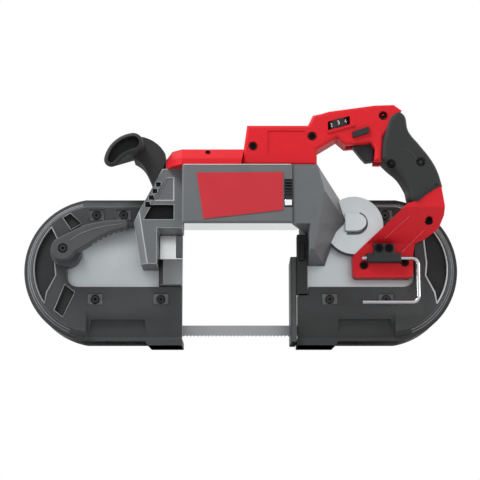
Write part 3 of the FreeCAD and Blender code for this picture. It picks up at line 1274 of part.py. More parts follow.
def controls():
    """Trigger, lock button, speed dial and the switch behind the trigger."""
    split = front(size.handle_split)
    half = size.trigger_thick / 2
    trigger = new_body("trigger")
    pad(trigger, "XZ_Plane", split + half, split - half, [handle_outline(trigger_shares)])
    soften(trigger, "Fillet", half / 4,
           lambda edge: edge_at(split + half, "y")(edge) or edge_at(split - half, "y")(edge))
    lock = new_body("lock_button")
    middle = (front(size.handle_rise) + front(size.handle_back)) / 2
    reach = size.lock_length / 2
    pad(lock, "XZ_Plane", middle + reach, middle - reach, [lock_outline(NONE)])
    dial = new_body("speed_dial")
    width = size.dial_width / 2
    rim = size.dial_radius
    turn(dial, "Z_Axis", [(NONE, -width), (rim, -width), (rim, width), (NONE, width)])
    notch = cut(dial, "XY_Plane", -width, width, [(NONE, rim + size.dial_play, size.dial_play * 2.2)])
    around(dial, notch, "Z_Axis", 24)
    lean = FreeCAD.Rotation(Vector(0, 1, 0), -math.degrees(math.atan(dial_slope_share)))
    dial.Placement = FreeCAD.Placement(Vector(), lean)
    place(dial, size.dial_x, front(size.handle_rise + size.dial_proud) + rim, size.dial_height)
    switch = new_body("trigger_switch")
    seat = front(size.handle_back + size.handle_wall)
    pad(switch, "XZ_Plane", seat, seat - size.switch_thick, [handle_outline(switch_shares)])
    board = new_body("control_board")
    floor = front(size.block_back + size.handle_wall)
    pad(board, "XZ_Plane", floor, floor - size.overrun, [handle_outline(board_shares)])
    rail = new_body("battery_terminal_block")
    back = front(size.block_back)
    corners = handle_outline(rail_shares)
    pad(rail, "XZ_Plane", back + size.screw_head, back, [corners])
    for index in range(4):
        x = size.handle_left + size.handle_length * (0.1 + index * 0.055)
        cut(rail, "XZ_Plane", back + size.screw_head, back + size.overrun / 2,
            [box(x, x + size.overrun, size.handle_low + size.handle_height * 0.3,
                 size.handle_low + size.handle_height * 0.5)])


def meeting(first, first_reach, last, last_reach):
    """Where two circles cross, on the right of the way from the first centre to the last."""
    way = last - first
    along = (way.Length ** 2 + first_reach ** 2 - last_reach ** 2) / (2 * way.Length)
    aside = math.sqrt(first_reach ** 2 - along ** 2)
    way.normalize()
    return first + way * along + Vector(way.y, -way.x, 0) * aside


def bean_shares(inset):
    """Bean section: a long outer arc, a hollow inner arc and two round ends, each tangent to the next."""
    (low, low_end), (high, high_end) = bean_ends_share
    outer = meeting(low, bean_outer_share - low_end, high, bean_outer_share - high_end)
    inner = meeting(low, bean_inner_share + low_end, high, bean_inner_share + high_end)
    way = (high - low).normalize()
    low_end, high_end = low_end - inset, high_end - inset
    outer_bend, inner_bend = bean_outer_share - inset, bean_inner_share + inset
    spots = [(outer + (low - outer).normalize() * outer_bend, -outer_bend),
             (outer + (high - outer).normalize() * outer_bend, -high_end),
             (high + way * high_end, -high_end),
             (high + (inner - high).normalize() * high_end, inner_bend),
             (low + (inner - low).normalize() * low_end, -low_end),
             (low - way * low_end, -low_end)]
    return [(spot.x, spot.y, bend) for spot, bend in spots]


def front_handle():
    """Front handle: a hollow-ended bar of bean section across the saw, on a neck."""
    body = new_body("front_handle")
    bean, hollow = [spread(bean_shares(inset), -size.bar_left, size.bar_low, size.bar_width, size.bar_height)
                    for inset in (0, bean_wall_share)]
    near, far = front(size.bar_rise), behind(size.bar_depth)
    pad(body, "XZ_Plane", far, near, [bean])
    soften(body, "Fillet", size.bar_round, lambda edge: edge_at(near, "y")(edge) or edge_at(far, "y")(edge))
    neck = spread(neck_shares, -size.bar_left, size.bar_low, size.bar_width, size.bar_height)
    run_x, run_z = support_top + size.support_left, size.housing_top - support_shoulder
    seat = [(support_top - run_x * share, size.housing_top - run_z * share) for share in (0.02, 0.32)]
    pad(body, "XZ_Plane", front(size.neck_back), front(size.neck_rise), [neck[:3] + seat + neck[3:]])
    cut(body, "XZ_Plane", near, near + size.bar_hollow, [hollow])
    cut(body, "XZ_Plane", far, far - size.bar_hollow, [hollow])
    return body


def top_cover():
    """Low red cover over the motor, with sloped shoulders."""
    body = new_body("top_cover")
    low = size.housing_top
    tall = size.cover_height
    near, far = front(size.housing_rise - size.overrun / 2), front(size.overrun)
    roof = size.cover_height - size.cover_shoulder
    section = [(near, low), (far, low), (far, low + size.cover_shoulder), (far - roof, low + tall),
               (near + roof, low + tall), (near, low + size.cover_shoulder)]
    pad(body, "YZ_Plane", -size.cover_left, size.handle_left / 10 - size.seat_gap / 2, [section])
    soften(body, "Chamfer", size.cover_shoulder, lambda edge: edge_at(-size.cover_left, "x")(edge)
           and edge.CenterOfMass.z > (low + size.cover_shoulder / 2).value)
    soften(body, "Fillet", size.cover_round,
           lambda edge: edge.BoundBox.XLength > size.cover_left.value * 0.8
           and edge.CenterOfMass.z > (low + size.overrun).value)
    x = (size.handle_left - size.cover_left) / 2
    cut(body, "XY_Plane", low + tall + size.overrun, low + tall - size.overrun,
        [(x, near + roof + size.screw_head_radius * 1.6, size.screw_head_radius)])
    return body


def hanger():
    """Hook of bent wire that swings in a bracket on the handle's foot."""
    y = front((size.foot_rise + size.bracket_rise) / 2)
    bracket = new_body("hanger_bracket")
    low = size.hook_height - size.wire_radius - size.bracket_wall
    high = size.hook_height + size.wire_radius + size.bracket_wall
    inset = (size.bracket_right - size.bracket_left) / 5
    outline = [(size.bracket_left, low), (size.bracket_right, low), (size.bracket_right, high),
               (size.bracket_right - inset, high), (size.bracket_right - inset, size.bracket_high),
               (size.bracket_left + inset, size.bracket_high), (size.bracket_left + inset, high),
               (size.bracket_left, high)]
    pad(bracket, "XZ_Plane", front(size.foot_rise), front(size.bracket_rise), [outline])
    soften(bracket, "Fillet", size.bracket_wall * 0.6, edge_at(front(size.bracket_rise), "y"))
    cut(bracket, "YZ_Plane", size.bracket_left, size.bracket_right,
        [(y, size.hook_height, size.wire_radius + size.fit * 2)])
    for x, z in bracket_screw_places:
        cut(bracket, "XZ_Plane", front(size.bracket_rise), front(size.bracket_rise - size.screw_head),
            [(x, z, size.screw_head_radius + size.fit)])
        cut(bracket, "XZ_Plane", front(size.bracket_rise), front(size.foot_rise),
            [(x, z, size.screw_radius + size.fit)])
    bend = size.hook_bend.value
    left, right = size.hook_left.value, size.hook_right.value
    top, low = size.hook_height.value, (size.hook_height - size.hook_drop).value
    depth = y.value
    corner_share = 1 - math.sqrt(0.5)
    path = [Part.makeLine(Vector(left, depth, top), Vector(right - bend, depth, top)),
            Part.Arc(Vector(right - bend, depth, top),
                     Vector(right - bend * corner_share, depth, top - bend * corner_share),
                     Vector(right, depth, top - bend)).toShape(),
            Part.makeLine(Vector(right, depth, top - bend), Vector(right, depth, low + bend)),
            Part.Arc(Vector(right, depth, low + bend),
                     Vector(right - bend * corner_share, depth, low + bend * corner_share),
                     Vector(right - bend, depth, low)).toShape(),
            Part.makeLine(Vector(right - bend, depth, low), Vector(left, depth, low))]
    circle = Part.Wire(Part.makeCircle(size.wire_radius.value, Vector(left, depth, top), Vector(1, 0, 0)))
    solid_node("hanger_hook", Part.Wire(path).makePipeShell([circle], True, False))


def label_plate():
    """Bare slanted plate on the motor housing's front."""
    body = new_body("label_plate")
    wide = size.housing_left + size.housing_right
    tall = size.housing_top - size.housing_low
    corners = spread(label_shares, -size.housing_left, size.housing_low, wide, tall)
    pad(body, "XZ_Plane", front(size.housing_rise), front(size.housing_rise + size.label_thick), [corners])
    return body


def screw(label, x, top, z, shank):
    """Socket-head screw along Y: head, shank and a hexagonal socket."""
    solids = []
    for kind, radius, start, length in (("head", size.screw_head_radius, top, size.screw_head),
                                        ("shank", size.screw_radius, top + size.screw_head, shank),
                                        ("socket", size.socket_radius, top, size.screw_head / 2)):
        bar = doc.addObject("Part::Prism" if kind == "socket" else "Part::Cylinder", label + "_" + kind)
        bind(bar, "Circumradius" if kind == "socket" else "Radius", radius)
        bind(bar, "Height", length)
        bar.Placement = FreeCAD.Placement(Vector(), FreeCAD.Rotation(Vector(1, 0, 0), -90))
        place(bar, x, start, z)
        solids.append(bar)
    blank = doc.addObject("Part::Fuse", label + "_blank")
    blank.Base, blank.Tool = solids[:2]
    whole = doc.addObject("Part::Cut", label)
    whole.Base, whole.Tool = blank, solids[2]
    return whole


def screws():
    """Every screw that shows on the saw's front."""
    guard_top = front(size.guard_rise - size.screw_sink + size.screw_head)
    guard_shank = size.guard_rise - size.screw_sink + size.screw_grip - size.fit
    group_node("guard_screws", [screw("guard_screw", x, guard_top, z, guard_shank)
                                for side in (-1, 1) for x, z in guard_screw_places(side)])
    handle_shank = size.handle_rise - size.handle_split - size.screw_head + size.screw_grip
    bracket_shank = size.bracket_rise - size.foot_rise - size.screw_head - size.seat_gap
    rows = [(handle_screw_places[:3], size.handle_rise, handle_shank),
            (handle_screw_places[3:5], size.handle_rise + size.grip_bulge, handle_shank + size.grip_bulge),
            (handle_screw_places[5:], size.arm_screw_rise + size.screw_head, size.screw_grip),
            (foot_screw_places, size.foot_rise, size.screw_grip - size.seat_gap),
            (bracket_screw_places, size.bracket_rise, bracket_shank)]
    group_node("handle_screws", [screw("handle_screw", x, front(rise), z, shank)
                                 for places, rise, shank in rows for x, z in places])
    lever_shank = size.lever_thick / 2 - size.screw_head - size.seat_gap
    group_node("lever_screw", [screw("lever_cap", lever_x, front(size.lever_rise), lever_z, lever_shank)])


deck_frame()
guard("left_guard", -1, size.throat_left, size.throat_left, size.guard_top_left, size.foot_left)
guard("right_guard", 1, size.throat_right, size.guard_right_edge, size.guard_top_right, size.foot_right)
wheel("drive_wheel", axle_x, size.drive_shaft_radius)
wheel("idler_wheel", -axle_x, size.idler_bearing_radius + size.fit)
tyre("drive_tyre", axle_x)
tyre("idler_tyre", -axle_x)
gear_train()
gear_bearings()
gear_cover()
motor_housing()
motor()
gear_housing()
left_support()
throat_post()
blade()
tension()
idler_bearings()
blade_guide("left", -size.throat_left - size.guide_gap - size.guide_width / 2)
blade_guide("right", size.throat_right + size.guide_gap + size.guide_width / 2)
shoe()
handle_halves()
grip_halves()
lower_arm()
controls()
front_handle()
top_cover()
hanger()
label_plate()
screws()
export()
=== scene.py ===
import bpy
import json
import math
from mathutils import Matrix, Vector

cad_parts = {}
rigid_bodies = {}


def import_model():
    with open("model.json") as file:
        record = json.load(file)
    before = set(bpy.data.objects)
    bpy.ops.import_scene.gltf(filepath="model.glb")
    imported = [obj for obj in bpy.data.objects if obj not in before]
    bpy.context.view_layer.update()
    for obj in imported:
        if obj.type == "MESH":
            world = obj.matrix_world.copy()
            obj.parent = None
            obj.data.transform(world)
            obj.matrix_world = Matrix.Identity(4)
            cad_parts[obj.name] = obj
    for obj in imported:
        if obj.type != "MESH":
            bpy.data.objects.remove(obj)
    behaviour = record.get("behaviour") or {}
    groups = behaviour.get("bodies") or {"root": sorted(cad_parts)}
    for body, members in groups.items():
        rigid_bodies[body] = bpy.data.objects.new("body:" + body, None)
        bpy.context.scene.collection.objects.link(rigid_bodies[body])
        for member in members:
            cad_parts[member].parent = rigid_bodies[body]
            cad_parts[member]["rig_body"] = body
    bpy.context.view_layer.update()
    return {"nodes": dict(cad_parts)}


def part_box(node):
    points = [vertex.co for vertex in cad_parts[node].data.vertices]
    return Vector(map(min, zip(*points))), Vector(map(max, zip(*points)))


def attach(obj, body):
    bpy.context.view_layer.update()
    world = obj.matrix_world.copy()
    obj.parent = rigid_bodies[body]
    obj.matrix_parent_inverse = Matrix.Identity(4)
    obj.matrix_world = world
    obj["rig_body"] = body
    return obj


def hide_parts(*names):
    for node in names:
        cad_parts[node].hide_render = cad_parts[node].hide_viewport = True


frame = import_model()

nodes = frame["nodes"]

# Deck: the flat casting that everything is screwed to, with the throat cut out of its middle.
# Die-cast aluminium, tumbled and left bare: pale, faintly cloudy, with a fine cast grain.
# The throat's upper edge is milled bright, and the walls of the gear boss and its nose are painted dark as
# painted shade.
mm_per_metre = 1000
cloud_detail, cloud_rough, grain_detail, grain_rough, dent_strength = 3, 0.55, 2, 0.6, 0.35
weld_gap, flat_angle = 0.00001, math.radians(0.6)


def linear(code):
    """An sRGB hex colour as linear RGBA."""
    parts = [int(code[i:i + 2], 16) / 255 for i in (0, 2, 4)]
    parts = [c / 12.92 if c <= 0.04045 else ((c + 0.055) / 1.055) ** 2.4 for c in parts]
    return (*parts, 1)


def add(tree, kind, settings=None, values=None, links=None):
    """A shader node with its settings, socket values and incoming links."""
    made = tree.nodes.new(kind)
    for name, value in (settings or {}).items():
        setattr(made, name, value)
    for socket, value in (values or {}).items():
        made.inputs[socket].default_value = value
    for socket, source in (links or {}).items():
        tree.links.new(source, made.inputs[socket])
    return made


def new_material(name):
    """An empty material and its tree."""
    material = bpy.data.materials.new(name)
    material.use_nodes = True
    material.node_tree.nodes.clear()
    return material, material.node_tree


def grained(name, light, dark, *, rough, spread, cloud_mm, grain_mm, depth_mm,
            metallic=0, stretch=(1, 1, 1), gloss=0.5):
    """A moulded, cast or rolled skin: two close tones in soft clouds, and a grain that dulls and dents it."""
    material, tree = new_material(name)
    place = add(tree, "ShaderNodeTexCoord")
    turned = add(tree, "ShaderNodeMapping", values={"Scale": stretch},
                 links={"Vector": place.outputs["Object"]})
    cloud = add(tree, "ShaderNodeTexNoise",
                values={"Scale": mm_per_metre / cloud_mm, "Detail": cloud_detail, "Roughness": cloud_rough},
                links={"Vector": turned.outputs["Vector"]})
    grain = add(tree, "ShaderNodeTexNoise",
                values={"Scale": mm_per_metre / grain_mm, "Detail": grain_detail, "Roughness": grain_rough},
                links={"Vector": turned.outputs["Vector"]})
    tone = add(tree, "ShaderNodeMix", {"data_type": "RGBA"}, {"A": linear(dark), "B": linear(light)},
               {"Factor": cloud.outputs["Fac"]})
    dull = add(tree, "ShaderNodeMapRange", values={"To Min": rough - spread, "To Max": rough + spread},
               links={"Value": grain.outputs["Fac"]})
    bump = add(tree, "ShaderNodeBump",
               values={"Strength": dent_strength, "Distance": depth_mm / mm_per_metre},
               links={"Height": grain.outputs["Fac"]})
    shader = add(tree, "ShaderNodeBsdfPrincipled", values={"Metallic": metallic, "Specular IOR Level": gloss},
                 links={"Base Color": tone.outputs["Result"], "Roughness": dull.outputs["Result"],
                        "Normal": bump.outputs["Normal"]})
    add(tree, "ShaderNodeOutputMaterial", links={"Surface": shader.outputs["BSDF"]})
    return material


def coat(piece, *materials):
    """The piece takes these materials and no others."""
    piece.data.materials.clear()
    for material in materials:
        piece.data.materials.append(material)


def finish(material, *names):
    """The CAD nodes take this finish as they are."""
    for name in names:
        coat(nodes[name], material)


def opened_copy(name):
    """A copy of a CAD node, open for editing, with all of it selected and its doubled corners welded."""
    bpy.ops.object.select_all(action="DESELECT")
    nodes[name].select_set(True)
    bpy.context.view_layer.objects.active = nodes[name]
    bpy.ops.object.duplicate()
    bpy.ops.object.mode_set(mode="EDIT")
    bpy.ops.mesh.select_all(action="SELECT")
    bpy.ops.mesh.remove_doubles(threshold=weld_gap)
    return bpy.context.active_object


def round_over(piece, width_mm, segments=2, sharp=28, slot=-1):
    """Rounds the active piece's sharp edges, in a slot's material or, with -1, in that of their faces."""
    edges = piece.modifiers.new("edges", "BEVEL")
    edges.width = width_mm / mm_per_metre
    edges.segments = segments
    edges.limit_method = "ANGLE"
    edges.angle_limit = math.radians(sharp)
    edges.material = slot
    bpy.ops.object.modifier_apply(modifier="edges")


def eased(name, material, edge_highlight=None, *, width_mm, segments=2, smooth=24, reshape=None, slice_x=None):
    """A copy of a CAD node that stands for it, drawn to shape, its sharp edges rounded over and, given a
    second material, painted in it as painted highlights.
    """
    piece = opened_copy(name)
    piece.name = name + "_eased"
    bpy.ops.mesh.dissolve_limited(angle_limit=flat_angle)
    if slice_x is not None:
        bpy.ops.mesh.select_all(action="SELECT")
        bpy.ops.mesh.bisect(plane_co=(slice_x, 0, 0), plane_no=(1, 0, 0))
    bpy.ops.object.mode_set(mode="OBJECT")
    coat(piece, material)
    # The second material goes on the rounded edges as a painted highlight.
    if edge_highlight:
        piece.data.materials.append(edge_highlight)
    if reshape:
        for corner in piece.data.vertices:
            corner.co = reshape(*corner.co)
    round_over(piece, width_mm, segments, slot=1 if edge_highlight else -1)
    bpy.ops.object.shade_smooth_by_angle(angle=math.radians(smooth))
    even = piece.modifiers.new("even", "WEIGHTED_NORMAL")
    even.keep_sharp = True
    bpy.ops.object.modifier_apply(modifier="even")
    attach(piece, nodes[name]["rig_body"])
    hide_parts(name)
    return piece


cast_aluminium = grained("cast_aluminium", "C4C9CB", "B2B8BB", metallic=0.85, rough=0.42, spread=0.06,
                         cloud_mm=40, grain_mm=0.9, depth_mm=0.04)
milled_aluminium = grained("milled_aluminium", "F6F7F8", "ECEEEF", metallic=1, rough=0.14, spread=0.04,
                           cloud_mm=30, grain_mm=1.2, depth_mm=0.01, stretch=(0.1, 1, 1))
# Dark aluminium, a painted shade: on the gear boss's and nose's walls and on the rib round the nose.
boss_shade_aluminium = grained("boss_shade_aluminium", "6E7274", "585C5E", metallic=0.4, rough=0.6, spread=0.08,
                        cloud_mm=12, grain_mm=0.9, depth_mm=0.08, gloss=0.2)
boss_x, boss_z, boss_level, boss_reach = 0.1294, 0.1355, -0.0051, 0.036
nose_reach, nose_near, nose_shift, nose_lift, nose_wide, nose_tall = 0.0125, 0.0005, 0.0016, 0.003, 1.5, 1.27
deck_level, throat_top, throat_near = 0.0114, 0.141, 0.0006
square_on, steep = 0.9, 0.6


def drawn_nose(x, y, z):
    """The nose on the gear boss drawn out."""
    if y > boss_level + nose_near or math.hypot(x - boss_x, z - boss_z) > nose_reach:
        return x, y, z
    return boss_x + nose_shift + (x - boss_x) * nose_wide, y, boss_z + nose_lift + (z - boss_z) * nose_tall


deck = eased("deck_frame", cast_aluminium, width_mm=0.8, reshape=drawn_nose)
deck.data.materials.append(milled_aluminium)
deck.data.materials.append(boss_shade_aluminium)
# The boss's and nose's walls take the dark aluminium as painted shade.
for face in deck.data.polygons:
    x, y, z = face.center
    on_boss = y < deck_level and math.hypot(x - boss_x, z - boss_z) < boss_reach
    if face.normal.z < -square_on and abs(z - throat_top) < throat_near:
        face.material_index = 1
    elif on_boss and abs(face.normal.y) < steep:
        face.material_index = 2

# Gear cover: the lid on the gear chamber, behind the deck.
# Cast in the same aluminium and left bare.
finish(cast_aluminium, "gear_cover")

# Band wheels: grey iron castings, turned on the rim, with six lightening holes.
# Each carries a dark rubber tyre, bonded on, which the blade runs on.
grey_iron = grained("grey_iron", "7E8184", "5E6164", metallic=0.8, rough=0.48, spread=0.1,
                    cloud_mm=25, grain_mm=0.8, depth_mm=0.05)
tyre_rubber = grained("tyre_rubber", "3A3836", "2B2A29", rough=0.72, spread=0.08,
                      cloud_mm=15, grain_mm=0.7, depth_mm=0.06)
eased("drive_wheel", grey_iron, width_mm=0.6)
eased("idler_wheel", grey_iron, width_mm=0.6)
finish(tyre_rubber, "drive_tyre", "idler_tyre")

# Blade: one welded loop of spring steel, 12.7 mm wide, with teeth milled into its lower edge.
# Cold-rolled along its length, so its grain is drawn out along the band.
band_steel = grained("band_steel", "A7A9AA", "8B8D8F", metallic=0.75, rough=0.38, spread=0.1,
                     cloud_mm=30, grain_mm=1.4, depth_mm=0.02, stretch=(0.12, 1, 1))
finish(band_steel, "blade")

# Gear train and bearings: hobbed and ground steel, lightly oiled.
# All of it sits inside the housings, the gear chamber and the wheels' hubs.
ground_steel = grained("ground_steel", "9DA0A3", "83868A", metallic=0.95, rough=0.3, spread=0.08,
                       cloud_mm=20, grain_mm=0.8, depth_mm=0.02)
finish(ground_steel, "final_gear", "drive_shaft", "second_shaft", "second_gear", "first_shaft", "bevel_gear",
       "rotor_shaft", "gear_bearings", "motor_bearings", "idler_bearings")

# Blade guides: steel blocks on the deck's back, with rollers that hold the blade upright.
# The rollers are hardened and ground, the blocks are phosphated dark.
phosphated_steel = grained("phosphated_steel", "4A4C4E", "3A3C3E", metallic=0.6, rough=0.5, spread=0.08,
                           cloud_mm=20, grain_mm=0.7, depth_mm=0.03)
eased("left_guide", phosphated_steel, width_mm=0.6)
eased("right_guide", phosphated_steel, width_mm=0.6)
finish(ground_steel, "left_front_roller", "left_back_roller", "right_front_roller", "right_back_roller",
       "left_thrust_roller", "right_thrust_roller")

# Tension slide, its disc springs and the cam shaft: turned and milled steel behind the deck.
# The lever in front of the guard is glass-filled nylon, screwed on the shaft, its edges painted pale as
# painted highlights.
finish(ground_steel, "tension_slide", "tension_spring", "tension_cam_shaft")
black_nylon = grained("black_nylon", "2A2B2D", "222325", rough=0.48, spread=0.07,
                      cloud_mm=18, grain_mm=0.5, depth_mm=0.05, gloss=0.22)
lever_nylon = grained("lever_nylon", "4A4C4E", "404244", rough=0.5, spread=0.07,
                      cloud_mm=18, grain_mm=0.6, depth_mm=0.06, gloss=0.22)
# Pale nylon for painted highlights on the lever's edges and rim.
lever_highlight_nylon = grained("lever_highlight_nylon", "66696B", "56595B", rough=0.42, spread=0.07,
                       cloud_mm=10, grain_mm=0.6, depth_mm=0.04, gloss=0.4)
eased("tension_lever", lever_nylon, lever_highlight_nylon, width_mm=0.9)

# Motor: stator of stacked laminations with lacquered windings, rotor and a moulded fan.
# It sits inside the motor housing.
lacquered_core = grained("lacquered_core", "8A5A3C", "5C4334", metallic=0.3, rough=0.45, spread=0.1,
                         cloud_mm=10, grain_mm=0.8, depth_mm=0.05)
finish(lacquered_core, "stator", "rotor")
finish(black_nylon, "cooling_fan")

# Motor housing: the grey box over the motor, injection moulded in glass-filled nylon.
# The mould is spark-textured, so the skin is evenly matt; the window for the vents is black inside.
grey_nylon = grained("grey_nylon", "636668", "595C5E", rough=0.5, spread=0.06,
                     cloud_mm=30, grain_mm=0.6, depth_mm=0.05, gloss=0.35)
# Pale grey painted on the grey mouldings' rounded edges as painted highlights.
grey_highlight_nylon = grained("grey_highlight_nylon", "A3A6A8", "8C8F91", rough=0.42, spread=0.06,
                      cloud_mm=14, grain_mm=0.6, depth_mm=0.03, gloss=0.45)
# Its rounded edges are painted pale as painted highlights.
housing = eased("motor_housing", grey_nylon, grey_highlight_nylon, width_mm=1.0)
housing.data.materials.append(black_nylon)
front_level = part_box("motor_housing")[0][1]
window_left, window_low, window_high, window_near, window_far = 0.046, 0.14, 0.18, 0.0007, 0.02
for face in housing.data.polygons:
    x, y, z = face.center
    in_window = window_left < x and window_low < z < window_high
    if in_window and front_level + window_near < y < front_level + window_far:
        face.material_index = 2

# Vent grille: a black nylon insert with five slats, pressed into the window beside the label.
# Moulded with small rounds, and set just behind the housing's front.
slat_x, slat_sunk, slat_low, slat_extent = 0.0525, 0.0007, 0.1607, (0.0078, 0.0009, 0.0014)
slat_pitch, slat_count, slat_round_mm = 0.0033, 5, 0.3


def block(name, middle, extent):
    """A plain block round a middle."""
    bpy.ops.object.select_all(action="DESELECT")
    bpy.ops.mesh.primitive_cube_add(size=1, location=middle)
    piece = bpy.context.active_object
    piece.name = name
    piece.dimensions = extent
    bpy.ops.object.transform_apply(location=True, rotation=True, scale=True)
    return piece


grille = block("vent_grille", (slat_x, front_level + slat_sunk, slat_low), slat_extent)
stack = grille.modifiers.new("slats", "ARRAY")
stack.use_relative_offset = False
stack.use_constant_offset = True
stack.constant_offset_displace = (0, 0, slat_pitch)
stack.count = slat_count
bpy.ops.object.modifier_apply(modifier="slats")
round_over(grille, slat_round_mm)
grille.data.materials.append(black_nylon)
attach(grille, nodes["motor_housing"]["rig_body"])

# Heat sink: the pale edge of the motor's aluminium heat sink, which shows under the grille.
# Extruded, with its corners broken by hand.
sink_sunk, sink_z, sink_extent, sink_round_mm = 0.0008, 0.1505, (0.0078, 0.0011, 0.0065), 0.4
sink = block("heat_sink_edge", (slat_x, front_level + sink_sunk, sink_z), sink_extent)
round_over(sink, sink_round_mm)
sink.data.materials.append(milled_aluminium)
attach(sink, nodes["motor_housing"]["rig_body"])

# Label plate: a bare red panel, slanted at its left edge, glued in a shallow seat on the housing's front.
# Printed film over plastic, smoother than the housing.
red_film = grained("red_film", "BC2D36", "B32831", rough=0.36, spread=0.04,
                   cloud_mm=30, grain_mm=0.6, depth_mm=0.02, gloss=0.3)
eased("label_plate", red_film, width_mm=0.3)

# Gear housing: a faceted grey shell of the same nylon over the gears, with a leg down to the deck.
# Its upper and lower parts are each closed over by their own flat facets, and then made one.
gear_split, leg_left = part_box("motor_housing")[0][2], 0.0768
facet_angle, shell_round_mm, shell_sharp, shell_smooth = math.radians(3), 0.8, 10, math.radians(6)
halves = []
for above in (True, False):
    half = opened_copy("gear_housing")
    bpy.ops.mesh.bisect(plane_co=(0, 0, gear_split), plane_no=(0, 0, 1), use_fill=True, clear_inner=above,
                        clear_outer=not above)
    if not above:
        bpy.ops.mesh.select_all(action="SELECT")
        bpy.ops.mesh.bisect(plane_co=(leg_left, 0, 0), plane_no=(1, 0, 0), use_fill=True, clear_inner=True)
    bpy.ops.mesh.select_all(action="SELECT")
    bpy.ops.mesh.convex_hull(join_triangles=False)
    bpy.ops.mesh.select_all(action="SELECT")
    bpy.ops.mesh.dissolve_limited(angle_limit=facet_angle)
    bpy.ops.object.mode_set(mode="OBJECT")
    halves.append(half)
for half in halves:
    half.select_set(True)
bpy.ops.object.join()
shell = bpy.context.active_object
shell.name = "gear_housing_shell"
coat(shell, grey_nylon, grey_highlight_nylon)
round_over(shell, shell_round_mm, sharp=shell_sharp)
bpy.ops.object.shade_smooth_by_angle(angle=shell_smooth)
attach(shell, nodes["gear_housing"]["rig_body"])
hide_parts("gear_housing")

# Left support: a ribbed grey bracket of the same nylon at the motor's other end.
# Four vents run up its slanted edge; they and the lower bay are painted black inside as painted shade, and
# its edges are painted pale as painted highlights.
support_level, bay_floor, bay_step, bay_near = -0.0381, -0.0256, 0.0015, 0.0003
vent_side, vent_first, vent_pitch, vent_count = 0.005, (-0.1068, 0.151), (0.00397, 0.0075), 4
vent_slack, vent_near = 0.0003, 0.0004
lower_bay = ((-0.1085, -0.075), (0.136, 0.153))


def drawn_bay(x, y, z):
    """The upper bay's floor brought up under its rim."""
    if abs(y - bay_floor) < bay_near:
        return x, support_level + bay_step, z
    return x, y, z


support = eased("left_support", grey_nylon, grey_highlight_nylon, width_mm=0.8, reshape=drawn_bay)
support.data.materials.append(black_nylon)
shade_painted_hollows = [lower_bay]
for step in range(vent_count):
    left, low = (first + pitch * step for first, pitch in zip(vent_first, vent_pitch))
    shade_painted_hollows.append(((left - vent_slack, left + vent_side + vent_slack),
                    (low - vent_slack, low + vent_side + vent_slack)))
# Faces inside the vents and the lower bay are painted black as painted shade.
for face in support.data.polygons:
    x, y, z = face.center
    if y > support_level + vent_near:
        if any(wide[0] < x < wide[1] and tall[0] < z < tall[1] for wide, tall in shade_painted_hollows):
            face.material_index = 2

# Throat post: a stepped block over the left blade guide, of a nylon painted paler as painted light, round a
# milled steel plate.
# The plate is the upper face, painted bright as a painted highlight; the post's left edge is painted black as
# painted shade.
# Bright steel for the post's upper face: a painted highlight.
post_top_highlight_steel = grained("post_top_highlight_steel", "ECEFF0", "E0E4E5", metallic=0.8, rough=0.24, spread=0.05,
                       cloud_mm=18, grain_mm=1.0, depth_mm=0.02, stretch=(1, 1, 0.15))
# Nylon painted paler as painted light, to lift the post out of the housing's shade.
post_lightened_nylon = grained("post_lightened_nylon", "85888A", "7A7D7F", rough=0.5, spread=0.06,
                     cloud_mm=30, grain_mm=0.6, depth_mm=0.05, gloss=0.35)
post = eased("throat_post", post_lightened_nylon, width_mm=0.8)
post.data.materials.append(post_top_highlight_steel)
post.data.materials.append(black_nylon)
plate_low, plate_level, plate_near, turned_left = 0.0975, 0.0059, 0.001, 0.3
# Upper face painted bright as a painted highlight; left-facing faces painted black as painted shade.
for face in post.data.polygons:
    on_plate = face.center.z > plate_low and abs(face.center.y - plate_level) < plate_near
    if face.normal.y < -square_on and on_plate:
        face.material_index = 1
    elif face.normal.x < -turned_left:
        face.material_index = 2

# Guards: two thick dark mouldings round the wheels, with a step at the rim, recessed panels and feet.
# Tough rubber-modified nylon, matt; its rounded edges painted paler as painted highlights, its recessed
# panels painted darker as painted shade, its screw pockets' floors painted pale as painted light.
guard_nylon = grained("guard_nylon", "434445", "393A3B", rough=0.54, spread=0.07,
                      cloud_mm=26, grain_mm=0.6, depth_mm=0.06, gloss=0.2)
# Pale nylon for painted highlights on the guards' edges and beads.
guard_highlight_nylon = grained("guard_highlight_nylon", "8A8C8E", "727476", rough=0.42, spread=0.07,
                       cloud_mm=12, grain_mm=0.6, depth_mm=0.04, gloss=0.4)
# Dark nylon painted on the recessed panels' floors as painted shade.
recess_shade_nylon = grained("recess_shade_nylon", "2A2B2C", "222324", rough=0.66, spread=0.07,
                        cloud_mm=14, grain_mm=0.9, depth_mm=0.12, gloss=0.25)
# Pale nylon painted on the screw pockets' floors as painted light.
pocket_light_nylon = grained("pocket_light_nylon", "C4C6C8", "B4B6B8", rough=0.5, spread=0.06,
                       cloud_mm=14, grain_mm=0.6, depth_mm=0.05, gloss=0.35)
guard_step, screw_pocket, level_near, flat_on = 0.004, 0.006, 0.0004, 0.95
foot_edge, foot_top, shoe_side = 0.0672, 0.056, 0.0642
guard_front, filled_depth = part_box("right_guard")[0][1], 0.0006
filled_left, filled_right, filled_heights = 0.18, 0.2115, ((0.03, 0.0695), (0.1295, 0.151))
end_gap, end_low, end_slant = 0.001, 0.134, 0.53
end_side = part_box("left_support")[0][0] - end_gap


